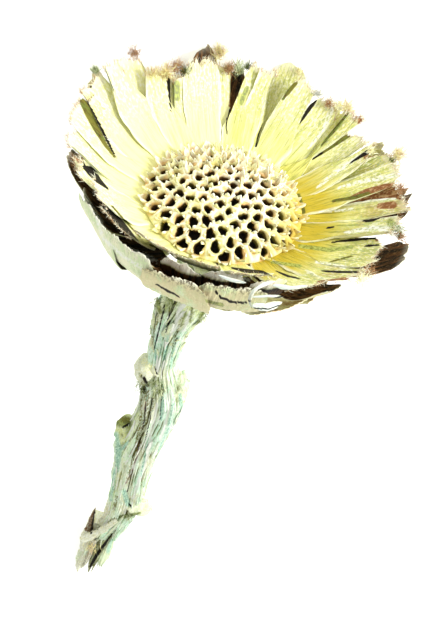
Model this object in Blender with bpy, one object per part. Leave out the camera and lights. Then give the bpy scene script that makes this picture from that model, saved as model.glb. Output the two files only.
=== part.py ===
"""A dried protea head on its cut stem, lying on a table.

The florets are gone, so the head is a pitted receptacle inside four whorls of bracts. Everything is
worked out in the head's own frame, in millimetres: the origin is the centre of the receptacle's base,
+Z runs along the flower's axis out of its face, +Y points to the side that lies lowest, and azimuths
run from +X towards +Y. The last step turns the head frame into the lying pose, in metres with +Z up,
where two bract tips and the cut end of the stem touch z = 0.
"""
import math
import random

import bpy
import bmesh
from mathutils import Matrix, Vector
from mathutils.geometry import delaunay_2d_cdt

MM = 0.001

# Lying pose: how far the face looks up, the turn about the flower's axis, and the origin's place
PITCH_DEG = 14.69
ROLL_DEG = -1.94
ORIGIN_IN_WORLD = (63.28, 1.40, 40.43)

# Receptacle: a shallow dome with a spiral of pits, one raised scale beside each
DISC_RADIUS = 19.0
DISC_RISE = 7.0
DISC_BASE_RADIUS = 17.4
DISC_BASE_Z = -3.0
DISC_SIDES = 36
PIT_COUNT = 118
PIT_FIELD_RADIUS = 17.9
PIT_DEPTH = 1.1
SCALE_HEIGHT = 1.5
LOW_SCALE_HEIGHT = 0.35
SPIRAL_DEG = 137.508

# Bracts: thickness at the root and at the tip
ROOT_THICKNESS = 1.0
TIP_THICKNESS = 0.7
ROUND_SIDES = 24

# Innermost bracts, hand placed: azimuth in degrees, reach and lift of the tip, width. Each one's knee
# is at a share of its reach, and every other one is raised by a layer
INNER_BRACTS = (
    (196, 35.0, 9.8, 6.6), (165, 40.6, 10.2, 8.6), (150, 43.4, 10.2, 7.2), (141, 43.6, 11.0, 6.4),
    (134, 43.8, 10.4, 8.0), (128, 37.6, 9.2, 7.6), (120, 35.6, 9.0, 7.6), (112, 39.4, 9.8, 7.0),
    (105, 41.4, 10.0, 7.6), (92, 40.6, 9.8, 8.0), (85, 40.0, 12.4, 6.6), (72, 40.4, 10.0, 8.0),
    (61, 40.1, 10.0, 7.6), (52, 40.8, 10.0, 7.0), (43, 37.6, 9.8, 6.0), (36, 37.9, 10.2, 5.4),
    (30, 41.6, 9.8, 6.6), (22, 41.3, 10.0, 6.0), (8, 42.6, 9.8, 8.8), (-5, 39.4, 10.0, 7.0),
    (-17, 38.8, 9.8, 8.4), (-33, 40.0, 9.8, 7.6), (-50, 36.6, 10.0, 7.6), (-72, 34.0, 10.0, 8.4),
    (-94, 31.8, 10.8, 9.0), (-114, 32.6, 10.8, 8.4), (-132, 33.4, 10.4, 8.4), (-150, 33.4, 10.0, 7.6),
    (177, 38.4, 10.8, 8.6),
)
INNER_ROOT = (19.2, -2.7)
INNER_KNEE = 0.46
INNER_KNEE_Z = 1.2
INNER_ROOT_WIDTH = 3.6
INNER_TIP_SHARE = 0.86
INNER_LAYER = 0.8

# Middle bracts, dark inside, hand placed under the innermost: azimuth, reach and lift of the tip
MIDDLE_BRACTS = (
    (79, 45.0, 10.6), (97, 41.8, 7.6), (109, 45.8, 10.4), (129, 39.6, 5.2), (149, 45.2, 9.0),
    (170, 41.5, 8.2), (188, 37.8, 7.6), (211, 32.8, 6.8), (232, 33.6, 7.4), (254, 32.7, 7.3),
    (276, 32.8, 7.0), (298, 34.2, 6.9), (320, 39.2, 7.6), (348, 43.6, 7.4), (15, 44.4, 7.6),
    (37, 43.2, 8.0), (58, 43.0, 8.2),
)
MIDDLE_ROOT = (17.0, -7.6)
MIDDLE_KNEE = 0.7
MIDDLE_KNEE_Z = (-3.5, -4.8)
MIDDLE_REACH = (34.0, 45.0)
MIDDLE_WIDTHS = (5.0, 9.5, 6.0)

# Outer bracts, short and broad, hand placed: azimuth, reach and lift of the tip. They stand up like a
# cup on the side that lies uppermost, and spread flat on the low side
OUTER_BRACTS = (
    (8, 33.0, -6.0), (34, 33.6, -6.2), (60, 33.8, -6.0), (86, 33.6, -6.2), (112, 33.8, -6.0),
    (137, 33.4, -6.0), (162, 31.8, -6.4), (187, 33.0, -3.2), (212, 34.6, 6.6), (237, 36.0, 7.6),
    (261, 35.4, 7.6), (284, 35.6, 5.0), (314, 29.0, -6.0), (340, 30.6, -6.6),
)
OUTER_ROOT = (14.0, -11.7)
OUTER_FLAT_KNEE = (0.7, -11.6)
OUTER_CUP_KNEE = (0.78, -9.0)
OUTER_FLAT_LIFT = -6.0
OUTER_CUP_LIFT = 5.0
OUTER_LAYER = 0.45
OUTER_WIDTHS = (5.6, 16.0, 11.0)

# Basal bracts, the small scales where the head meets the stem
BASAL_COUNT = 11
BASAL_ROOT = (10.2, -16.2)
BASAL_KNEE = (16.5, -18.0)
BASAL_TIP = (22.0, -14.2)
BASAL_WIDTHS = (4.4, 8.6, 3.4)

# Collars that carry each whorl, as (radius, z) round the swollen end of the stem, 0.3 mm clear of it
INNER_COLLAR = ((18.7, -1.5), (20.0, -2.4), (18.8, -5.0), (16.3, -6.6), (15.3, -5.5), (17.8, -3.25))
MIDDLE_COLLAR = ((14.65, -6.4), (16.2, -7.1), (18.4, -6.0), (18.2, -7.6), (14.0, -10.5), (12.35, -9.6))
OUTER_COLLAR = ((11.8, -10.4), (13.9, -11.0), (16.0, -10.0), (15.6, -11.8), (11.2, -14.4), (9.6, -13.6))
BASAL_COLLAR = ((9.15, -14.5), (11.0, -15.0), (12.4, -14.5), (11.6, -16.6), (8.6, -18.6), (7.7, -17.9))

# Swollen end of the stem under the receptacle, as (radius, z)
NECK = ((16.5, -3.3), (13.0, -8.0), (9.0, -14.0), (6.4, -20.0))

# Stem below the neck: x of the centre, z, and width, which swells at each old leaf joint
STEM = (
    (-0.9, -26.0, 13.0), (-2.8, -33.0, 12.2), (-4.4, -40.0, 10.8), (-5.2, -46.0, 9.0),
    (-5.3, -52.0, 7.7), (-5.2, -58.5, 7.2), (-3.9, -63.5, 9.2), (-2.7, -70.0, 11.2),
    (-2.8, -77.5, 10.9), (-4.2, -85.0, 10.6), (-5.7, -95.0, 10.4), (-5.7, -106.0, 9.7),
    (-5.5, -114.0, 8.8), (-5.8, -120.0, 8.0), (-7.2, -127.0, 7.2), (-9.2, -133.0, 8.0),
    (-10.2, -139.0, 8.4),
)
STEM_RIBS = 5
STEM_RIB_DEPTH = 0.07

# Old leaf joints on the stem: centre (x, y, z) and half sizes of each knob
LEAF_JOINTS = (
    ((-8.3, -1.2, -61.2), (3.1, 4.0, 3.6)), ((1.0, 0.4, -67.5), (2.4, 3.8, 5.5)),
    ((-10.4, 0.0, -88.0), (3.0, 3.2, 6.2)), ((-9.3, 0.3, -95.0), (2.6, 3.2, 6.0)),
    ((-1.3, -1.4, -119.0), (2.7, 3.4, 2.0)),
)

# Torn end: two prongs of bark and fibre, and the dry point of an old leaf; each has the (x, z) of its
# root and its end, its width and its thickness
TORN_STRIPS = (
    ((-12.0, -132.0), (-13.7, -153.0), 5.4, 3.2), ((-8.1, -132.0), (-8.1, -149.0), 5.0, 3.0),
    ((-12.0, -138.0), (-13.7, -124.6), 3.6, 1.6),
)

# Small scales pressed to the stem under the head
NECK_SCALE_COUNT = 10

SEED = 31


def lerp(a, b, t):
    return a + (b - a) * t


def smooth(t):
    """Smooth step from 0 to 1."""
    t = min(1.0, max(0.0, t))
    return t * t * (3.0 - 2.0 * t)


def bezier(p0, p1, p2, t):
    """Point and direction of a quadratic curve in the (radius, z) plane."""
    s = 1.0 - t
    point = [s * s * a + 2 * s * t * b + t * t * c for a, b, c in zip(p0, p1, p2)]
    slope = [2 * s * (b - a) + 2 * t * (c - b) for a, b, c in zip(p0, p1, p2)]
    return point, slope


def lying_pose():
    """Matrix from the head frame in millimetres to the world in metres."""
    pitch = math.radians(PITCH_DEG)
    axis = Vector((math.cos(pitch), 0.0, math.sin(pitch)))
    low_side = Vector((math.sin(pitch), 0.0, -math.cos(pitch)))
    side = low_side.cross(axis)
    frame = Matrix((side, low_side, axis)).transposed().to_4x4()
    roll = Matrix.Rotation(math.radians(ROLL_DEG), 4, "Z")
    return Matrix.Translation(Vector(ORIGIN_IN_WORLD) * MM) @ frame @ roll @ Matrix.Scale(MM, 4)


def material(name, colour, roughness):
    made = bpy.data.materials.new(name)
    made.use_nodes = True
    shader = made.node_tree.nodes["Principled BSDF"]
    shader.inputs["Base Color"].default_value = (*colour, 1.0)
    shader.inputs["Roughness"].default_value = roughness
    shader.inputs["Metallic"].default_value = 0.0
    return made


def add_object(name, points, faces, collection=None):
    """Mesh object from head-frame points; its place is in its mesh."""
    mesh = bpy.data.meshes.new(name)
    mesh.from_pydata([POSE @ Vector(p) for p in points], [], faces)
    made = bpy.data.objects.new(name, mesh)
    (collection or bpy.context.scene.collection).objects.link(made)
    cleaned = bmesh.new()
    cleaned.from_mesh(mesh)
    bmesh.ops.recalc_face_normals(cleaned, faces=cleaned.faces)
    cleaned.to_mesh(mesh)
    cleaned.free()
    return made


def fuse(name, pieces, finish):
    """One body from the first piece and the union of the others."""
    base = add_object(name, *pieces[0])
    extra = bpy.data.collections.new(name + "_pieces")
    bpy.context.scene.collection.children.link(extra)
    for i, piece in enumerate(pieces[1:]):
        add_object(f"{name}_{i}", *piece, collection=extra)
    union = base.modifiers.new("union", "BOOLEAN")
    union.operation = "UNION"
    union.operand_type = "COLLECTION"
    union.collection = extra
    union.solver = "MANIFOLD"
    bpy.context.view_layer.update()
    joined = bpy.data.meshes.new_from_object(base.evaluated_get(bpy.context.evaluated_depsgraph_get()))
    base.modifiers.clear()
    base.data = joined
    for piece in list(extra.objects):
        bpy.data.objects.remove(piece)
    bpy.data.collections.remove(extra)
    joined.materials.clear()
    joined.materials.append(finish)
    return base


def ring(profile, sides=ROUND_SIDES):
    """Closed ring turned from a closed (radius, z) profile about the flower's axis."""
    points = []
    faces = []
    n = len(profile)
    for i in range(sides):
        a = 2 * math.pi * i / sides
        points += [(r * math.cos(a), r * math.sin(a), z) for r, z in profile]
        j = (i + 1) % sides
        for k in range(n):
            m = (k + 1) % n
            faces.append((i * n + k, i * n + m, j * n + m, j * n + k))
    return points, faces


def strap(centre, sides, normals, half_widths, lifts, thicknesses, columns):
    """Closed blade along a line of centres, split into the same triangles on both faces."""
    rows = len(centre)
    points = []
    for sign in (0.5, -0.5):
        for c, s, n, w, lift, thick in zip(centre, sides, normals, half_widths, lifts, thicknesses):
            for k in range(columns + 1):
                v = 2.0 * k / columns - 1.0
                points.append(c + s * (v * w) + n * (lift * v * v + sign * thick))
    faces = []
    across = columns + 1
    under = rows * across
    for i in range(rows - 1):
        for k in range(columns):
            a = i * across + k
            b, c, d = a + 1, a + across + 1, a + across
            if k < columns // 2:
                halves = ((a, b, c), (a, c, d))
            else:
                halves = ((a, b, d), (b, c, d))
            for tri in halves:
                faces.append(tri)
                faces.append(tuple(under + q for q in reversed(tri)))
    rim = [k for k in range(across)]
    rim += [i * across + columns for i in range(1, rows)]
    rim += [(rows - 1) * across + k for k in range(columns - 1, -1, -1)]
    rim += [i * across for i in range(rows - 2, 0, -1)]
    for a, b in zip(rim, rim[1:] + rim[:1]):
        faces.append((a, under + a, under + b))
        faces.append((a, under + b, b))
    return points, faces


def bract(azimuth, root, knee, tip, widths, curl, rows=7, columns=2, twist=0.0, sway=0.0, axis_x=0.0):
    """Bract that runs out from an upright axis: widths at the root, the middle and the tip."""
    a = math.radians(azimuth)
    out = Vector((math.cos(a), math.sin(a), 0.0))
    round_ = Vector((-math.sin(a), math.cos(a), 0.0))
    up = Vector((0.0, 0.0, 1.0))
    centre, sides, normals, half_widths, lifts, thick = [], [], [], [], [], []
    for i in range(rows + 1):
        t = i / rows
        (r, z), (dr, dz) = bezier(root, knee, tip, t)
        along = (out * dr + up * dz).normalized()
        flat = (up * along.dot(out) - out * along.dot(up)).normalized()
        turn = math.radians(twist) * t * t
        side = round_ * math.cos(turn) + flat * math.sin(turn)
        normal = flat * math.cos(turn) - round_ * math.sin(turn)
        width = lerp(widths[0], widths[1], min(1.0, t / 0.55))
        if t > 0.55:
            width = lerp(widths[1], widths[2], ((t - 0.55) / 0.45) ** 2)
        centre.append(out * r + up * z + round_ * (sway * t * t) + Vector((axis_x, 0.0, 0.0)))
        sides.append(side)
        normals.append(normal)
        half_widths.append(width / 2)
        lifts.append(curl * (0.4 + 0.6 * t))
        thick.append(lerp(ROOT_THICKNESS, TIP_THICKNESS, t))
    return strap(centre, sides, normals, half_widths, lifts, thick, columns)


def inner_bracts():
    draw = random.Random(SEED)
    pieces = [ring(INNER_COLLAR)]
    for i, (azimuth, reach, lift, width) in enumerate(INNER_BRACTS):
        layer = INNER_LAYER * (1 if i % 2 else -1)
        knee = (lerp(INNER_ROOT[0], reach, INNER_KNEE), INNER_KNEE_Z + layer)
        widths = (INNER_ROOT_WIDTH, width, width * INNER_TIP_SHARE)
        pieces.append(
            bract(azimuth, INNER_ROOT, knee, (reach, lift + layer), widths,
                  curl=draw.uniform(0.2, 0.7), rows=5, twist=draw.uniform(-7, 7),
                  sway=draw.uniform(-0.7, 0.7))
        )
    return fuse("inner_bracts", pieces, material("cream_bract", (0.87, 0.85, 0.48), 0.62))


def middle_bracts():
    draw = random.Random(SEED + 1)
    pieces = [ring(MIDDLE_COLLAR)]
    for azimuth, reach, lift in MIDDLE_BRACTS:
        longer = (reach - MIDDLE_REACH[0]) / (MIDDLE_REACH[1] - MIDDLE_REACH[0])
        knee = (lerp(MIDDLE_ROOT[0], reach, MIDDLE_KNEE), lerp(*MIDDLE_KNEE_Z, longer))
        pieces.append(
            bract(azimuth, MIDDLE_ROOT, knee, (reach, lift), MIDDLE_WIDTHS,
                  curl=draw.uniform(0.4, 0.8), rows=5, twist=draw.uniform(-4, 4))
        )
    return fuse("middle_bracts", pieces, material("brown_bract", (0.30, 0.16, 0.07), 0.68))


def outer_bracts():
    draw = random.Random(SEED + 2)
    pieces = [ring(OUTER_COLLAR)]
    for i, (azimuth, reach, lift) in enumerate(OUTER_BRACTS):
        cup = smooth((lift - OUTER_FLAT_LIFT) / (OUTER_CUP_LIFT - OUTER_FLAT_LIFT))
        share, knee_z = (lerp(a, b, cup) for a, b in zip(OUTER_FLAT_KNEE, OUTER_CUP_KNEE))
        layer = OUTER_LAYER * (1 if i % 2 else -1)
        knee = (lerp(OUTER_ROOT[0], reach, share), knee_z + layer)
        pieces.append(
            bract(azimuth, OUTER_ROOT, knee, (reach - layer, lift + layer), OUTER_WIDTHS,
                  curl=draw.uniform(0.7, 1.0), rows=5, columns=4, twist=draw.uniform(-3, 3))
        )
    return fuse("outer_bracts", pieces, material("green_bract", (0.78, 0.80, 0.58), 0.66))


def basal_bracts():
    draw = random.Random(SEED + 3)
    pieces = [ring(BASAL_COLLAR)]
    for i in range(BASAL_COUNT):
        azimuth = 360.0 * i / BASAL_COUNT + draw.uniform(-4.0, 4.0)
        tip = (BASAL_TIP[0] + draw.uniform(-1.6, 0.6), BASAL_TIP[1])
        pieces.append(
            bract(azimuth, BASAL_ROOT, BASAL_KNEE, tip, BASAL_WIDTHS,
                  curl=draw.uniform(0.5, 0.9), rows=3)
        )
    return fuse("basal_bracts", pieces, material("basal_bract", (0.70, 0.72, 0.46), 0.7))


def dome(x, y):
    """Point of the receptacle's dome over (x, y), and the direction out of it."""
    radius = (DISC_RADIUS ** 2 + DISC_RISE ** 2) / (2 * DISC_RISE)
    centre_z = DISC_RISE - radius
    z = centre_z + math.sqrt(max(0.0, radius * radius - x * x - y * y))
    out = Vector((x, y, z - centre_z)).normalized()
    return Vector((x, y, z)), out


def receptacle():
    """Dome split round a spiral of pits, with a scale raised on the outer side of each pit."""
    pits = []
    for i in range(PIT_COUNT):
        r = PIT_FIELD_RADIUS * math.sqrt((i + 0.5) / PIT_COUNT)
        a = math.radians(SPIRAL_DEG * i)
        pits.append(Vector((r * math.cos(a), r * math.sin(a))))
    rim = []
    for i in range(DISC_SIDES):
        a = 2 * math.pi * i / DISC_SIDES
        rim.append(Vector((DISC_RADIUS * math.cos(a), DISC_RADIUS * math.sin(a))))
    flat, _, triangles, *_ = delaunay_2d_cdt(pits + rim, [], [], 0, 1e-6)
    flat = [Vector(p) for p in flat]
    is_rim = [p.length > DISC_RADIUS - 0.05 for p in flat]
    inner = [tri for tri in triangles if not all(is_rim[k] for k in tri)]
    middles = [(flat[a] + flat[b] + flat[c]) / 3 for a, b, c in inner]
    tall = set()
    for k, p in enumerate(flat):
        if is_rim[k]:
            continue
        around = [t for t, tri in enumerate(inner) if k in tri]
        tall.add(max(around, key=lambda t: (middles[t] - p).normalized().dot(p.normalized())))
    points = []
    for k, p in enumerate(flat):
        on, out = dome(p.x, p.y)
        points.append(on if is_rim[k] else on - out * PIT_DEPTH)
    halfway = {}

    def between(a, b):
        key = (min(a, b), max(a, b))
        if key not in halfway:
            mid = (flat[a] + flat[b]) / 2
            if is_rim[a] and is_rim[b]:
                mid = mid.normalized() * DISC_RADIUS
            on, out = dome(mid.x, mid.y)
            halfway[key] = len(points)
            points.append(on)
        return halfway[key]

    faces = []
    for t, tri in enumerate(inner):
        on, out = dome(middles[t].x, middles[t].y)
        top = len(points)
        points.append(on + out * (SCALE_HEIGHT if t in tall else LOW_SCALE_HEIGHT))
        for a, b in zip(tri, tri[1:] + tri[:1]):
            if is_rim[a] and is_rim[b]:
                faces.append((a, b, top))
                continue
            m = between(a, b)
            faces += [(a, m, top), (m, b, top)]
    edge = [k for k in range(len(flat)) if is_rim[k]]
    order = sorted(edge, key=lambda k: math.atan2(flat[k].y, flat[k].x))
    foot = len(points)
    for k in order:
        p = flat[k].normalized() * DISC_BASE_RADIUS
        points.append(Vector((p.x, p.y, DISC_BASE_Z)))
    for i, k in enumerate(order):
        j = (i + 1) % len(order)
        faces.append((k, foot + i, foot + j, order[j]))
    faces.append(tuple(foot + i for i in range(len(order))))
    made = add_object("receptacle", points, faces)
    made.data.materials.append(material("receptacle_cream", (0.80, 0.74, 0.48), 0.72))
    return made


def lump(centre, size):
    """Small rounded knob: a stretched ball of few sides."""
    made = bmesh.new()
    bmesh.ops.create_icosphere(made, subdivisions=2, radius=1.0)
    shape = Matrix.Translation(Vector(centre)) @ Matrix.Diagonal((*size, 1.0))
    bmesh.ops.transform(made, matrix=shape, verts=made.verts)
    points = [v.co.copy() for v in made.verts]
    faces = [tuple(v.index for v in f.verts) for f in made.faces]
    made.free()
    return points, faces


def stem_body():
    """Swollen neck and ribbed stem as one tube."""
    points = []
    faces = []
    rings = 0
    for r, z in NECK:
        for i in range(ROUND_SIDES):
            a = 2 * math.pi * i / ROUND_SIDES
            points.append(Vector((r * math.cos(a), r * math.sin(a), z)))
        rings += 1
    for x, z, width in STEM:
        ribbed = min(1.0, (-z - 20.0) / 20.0)
        for i in range(ROUND_SIDES):
            a = 2 * math.pi * i / ROUND_SIDES
            rib = 1.0 + STEM_RIB_DEPTH * ribbed * math.cos(STEM_RIBS * a + 0.02 * z)
            r = 0.5 * width * rib
            points.append(Vector((x + r * math.cos(a), r * math.sin(a), z)))
        rings += 1
    n = ROUND_SIDES
    for k in range(rings - 1):
        for i in range(n):
            j = (i + 1) % n
            faces.append((k * n + i, (k + 1) * n + i, (k + 1) * n + j, k * n + j))
    faces.append(tuple(range(n)))
    faces.append(tuple(reversed(range((rings - 1) * n, rings * n))))
    return points, faces


def stem_at(z):
    """Centre and half width of the stem at a height."""
    for (x0, z0, w0), (x1, z1, w1) in zip(STEM, STEM[1:]):
        if z0 >= z >= z1:
            t = (z0 - z) / (z0 - z1)
            return lerp(x0, x1, t), lerp(w0, w1, t) / 2
    return STEM[-1][0], STEM[-1][2] / 2


def neck_scales():
    """Small pressed scales where the stem swells into the head, in two rows."""
    draw = random.Random(SEED + 4)
    made = []
    for i in range(NECK_SCALE_COUNT):
        azimuth = 360.0 * i / NECK_SCALE_COUNT + draw.uniform(-12, 12)
        foot = -36.0 - 6.0 * (i % 2) - draw.uniform(0.0, 2.0)
        x, half = stem_at(foot + 1.0)
        made.append(
            bract(azimuth, (half - 1.4, foot), (half + 0.6, foot + 5.0), (half + 3.0, foot + 10.5),
                  (3.0, 4.8, 1.8), curl=0.5, rows=3, axis_x=x)
        )
    return made


def torn_strip(start, end, width, thickness):
    """Strip of bark or fibre that starts inside the stem and runs on past it."""
    centre, sides, normals, half_widths, lifts, thick = [], [], [], [], [], []
    start, end = Vector((start[0], 0.0, start[1])), Vector((end[0], 0.0, end[1]))
    depth = Vector((0.0, 1.0, 0.0))
    for i in range(4):
        t = i / 3
        centre.append(start.lerp(end, t))
        sides.append(depth)
        normals.append(depth.cross((end - start).normalized()))
        half_widths.append(lerp(width, width * 0.45, t) / 2)
        lifts.append(0.0)
        thick.append(lerp(thickness, thickness * 0.55, t))
    return strap(centre, sides, normals, half_widths, lifts, thick, 2)


def stem():
    pieces = [stem_body()]
    pieces += [lump(centre, size) for centre, size in LEAF_JOINTS]
    pieces += neck_scales()
    pieces += [torn_strip(*strip) for strip in TORN_STRIPS]
    return fuse("stem", pieces, material("stem_green", (0.60, 0.68, 0.50), 0.75))


for old in list(bpy.data.objects):
    bpy.data.objects.remove(old)
POSE = lying_pose()
receptacle()
inner_bracts()
middle_bracts()
outer_bracts()
basal_bracts()
stem()
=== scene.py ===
"""Looks of a dried protea head on its cut stem, lying on a pale floor.

Shapes are worked out in the head's own frame, in millimetres: the origin is the centre of the
receptacle's base, +Z runs along the flower's axis out of its face, +Y points to the side that lies
lowest, which is at the top of the photograph, and azimuths run from +X towards +Y. The near side is
the one at the foot of the photograph, at -Y. POSE turns that frame into the lying part's, in metres.
"""
import math

import bpy
import numpy as np
from mathutils import Matrix, Vector


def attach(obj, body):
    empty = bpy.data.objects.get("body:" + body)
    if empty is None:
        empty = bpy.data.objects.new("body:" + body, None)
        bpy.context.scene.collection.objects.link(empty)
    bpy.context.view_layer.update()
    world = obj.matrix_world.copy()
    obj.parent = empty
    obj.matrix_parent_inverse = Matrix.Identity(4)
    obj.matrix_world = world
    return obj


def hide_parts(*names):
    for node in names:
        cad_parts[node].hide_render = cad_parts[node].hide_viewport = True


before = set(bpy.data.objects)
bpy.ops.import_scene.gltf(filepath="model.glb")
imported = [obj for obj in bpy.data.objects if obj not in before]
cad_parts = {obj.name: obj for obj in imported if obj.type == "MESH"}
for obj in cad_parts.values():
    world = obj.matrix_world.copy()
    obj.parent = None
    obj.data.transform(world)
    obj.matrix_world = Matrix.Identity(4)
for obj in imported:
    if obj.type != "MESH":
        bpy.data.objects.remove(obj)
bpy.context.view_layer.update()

MM = 0.001

# Lying pose of the part: how far the face looks up, its turn about the axis, and the origin's place
PITCH_DEG = 14.69
ROLL_DEG = -1.94
ORIGIN_IN_WORLD = (63.28, 1.40, 40.43)

# The photograph: its frame in pixels, the pixel of the head's origin, the real size of a pixel there,
# the view's slant from the flower's axis, its turn in the picture, and the camera's distance and
# sensor in mm
PHOTO_SIZE = (425, 620)
HEAD_PIXEL = (223.0, 205.0)
MM_PER_PIXEL = 0.2348
VIEW_SLANT_DEG = 44.0
VIEW_TURN_DEG = 15.0
VIEW_DISTANCE = 500.0
SENSOR = 36.0

# Receptacle: its dome and its base, then the pits on a spiral and the walls between them
DISC_RADIUS = 19.0
DISC_RISE = 7.0
DISC_BASE_RADIUS = 17.4
DISC_BASE_Z = -3.0
PIT_COUNT = 118
PIT_FIELD_RADIUS = 18.4
PIT_RADIUS = 1.12
PIT_DEPTH = 2.3
SPIRAL_DEG = 137.508
WALL_RISE = 0.45
DOME_RADIUS = (DISC_RADIUS ** 2 + DISC_RISE ** 2) / (2 * DISC_RISE)
DISC_RINGS = 88
DISC_SECTORS = 372
# Scales round each pit: bearing from the outward side, share of the full length, width, set back
SCALES_ROUND_A_PIT = (
    (0, 1.0, 2.3, 1.4), (62, 0.66, 1.9, 1.5), (-62, 0.66, 1.9, 1.5), (155, 0.30, 1.5, 1.5),
)
SCALE_ROWS = 6

# Innermost bracts: azimuth in degrees, reach and lift of the tip, width, greenness
INNER_BRACTS = (
    (194, 35.6, 9.8, 8.4, 0.10), (170, 40.2, 10.2, 8.0, 0.10), (154, 43.2, 10.2, 13.0, 0.06),
    (143, 43.2, 11.0, 9.4, 0.04), (134, 44.4, 10.4, 10.6, 0.04), (127, 38.4, 9.2, 9.6, 0.12),
    (120, 36.2, 9.0, 10.8, 0.18), (112, 39.6, 9.8, 7.8, 0.06), (105, 41.4, 10.0, 9.6, 0.12),
    (92, 40.6, 9.8, 8.0, 0.46), (85, 39.4, 12.0, 6.6, 0.46), (71, 40.8, 10.0, 8.4, 0.44),
    (61, 40.1, 10.0, 7.6, 0.48), (52, 40.8, 10.0, 7.0, 0.74), (43, 38.4, 9.8, 6.4, 0.46),
    (36, 38.2, 10.2, 5.8, 0.52), (30, 42.4, 9.8, 7.0, 0.86), (22, 41.3, 10.0, 6.6, 0.78),
    (8, 42.6, 9.8, 8.8, 0.88), (-5, 40.2, 10.0, 7.4, 0.84), (-17, 39.6, 9.8, 12.4, 0.84),
    (-33, 40.0, 9.8, 9.4, 0.74), (-50, 36.6, 10.0, 9.4, 0.60), (-72, 33.2, 10.8, 10.4, 0.44),
    (-94, 30.8, 11.4, 10.6, 0.30), (-114, 32.2, 10.8, 10.6, 0.22), (-132, 33.2, 10.2, 10.2, 0.16),
    (-150, 33.4, 9.8, 9.6, 0.12), (179, 38.8, 10.6, 11.4, 0.08), (161, 40.4, 9.6, 9.0, 0.30),
    (15, 41.4, 9.6, 8.0, 0.50), (187, 36.4, 9.4, 8.4, 0.10), (124, 37.6, 9.2, 9.0, 0.10),
)
# Bracts of this whorl that lie lowest, with the stain that covers each one
INNER_LOWEST = {161: None, 15: "rust", 187: None, 124: None}
INNER_LOWEST_LAYER = -1.7
# Their root as radius and height, how far out the knee is and its height, how far the two layers lie
# above and below, the width at the root, and the share of the tip's width that the belly has
INNER_ROOT = (18.7, -0.8)
INNER_KNEE = 0.46
INNER_KNEE_Z = 1.2
INNER_LAYER = 0.8
INNER_ROOT_WIDTH = 6.6
INNER_BELLY = 1.22
# Slits between them, from the disc outwards: azimuth, radius and half width in mm
SLITS = (
    ((170.1, 27.1, 0.0), (166.8, 33.0, 0.5), (161.4, 41.0, 0.7)),
    ((148.7, 38.2, 0.0), (148.0, 43.3, 0.6)),
    ((139.5, 37.3, 0.0), (141.2, 43.0, 0.2)),
    ((132.2, 40.1, 0.0), (132.6, 42.3, 0.3)),
    ((127.0, 30.4, 0.0), (124.3, 37.4, 0.4)),
    ((98.3, 28.8, 0.0), (97.4, 37.8, 1.9), (95.8, 42.1, 3.2)),
    ((80.3, 23.7, 0.0), (80.9, 29.3, 0.3), (81.4, 36.1, 1.8), (79.8, 41.2, 2.4)),
    ((67.9, 32.7, 0.0), (68.0, 41.7, 0.5)),
    ((51.1, 27.2, 0.0), (53.4, 31.8, 0.3), (55.3, 40.1, 0.6)),
    ((50.5, 28.2, 0.0), (47.7, 39.2, 0.3)),
    ((37.9, 32.4, 0.0), (36.5, 40.9, 0.9)),
    ((16.4, 29.6, 0.0), (15.6, 36.0, 0.9), (14.7, 41.5, 1.6)),
    ((3.7, 32.0, 0.0), (4.3, 37.0, 0.5)),
    ((-7.5, 27.0, 0.0), (-8.3, 38.1, 0.3)),
    ((-30.2, 29.4, 0.0), (-28.9, 38.7, 0.3)),
    ((192.8, 26.5, 0.0), (192.1, 31.0, 1.2), (190.5, 35.0, 1.6)),
)
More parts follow.
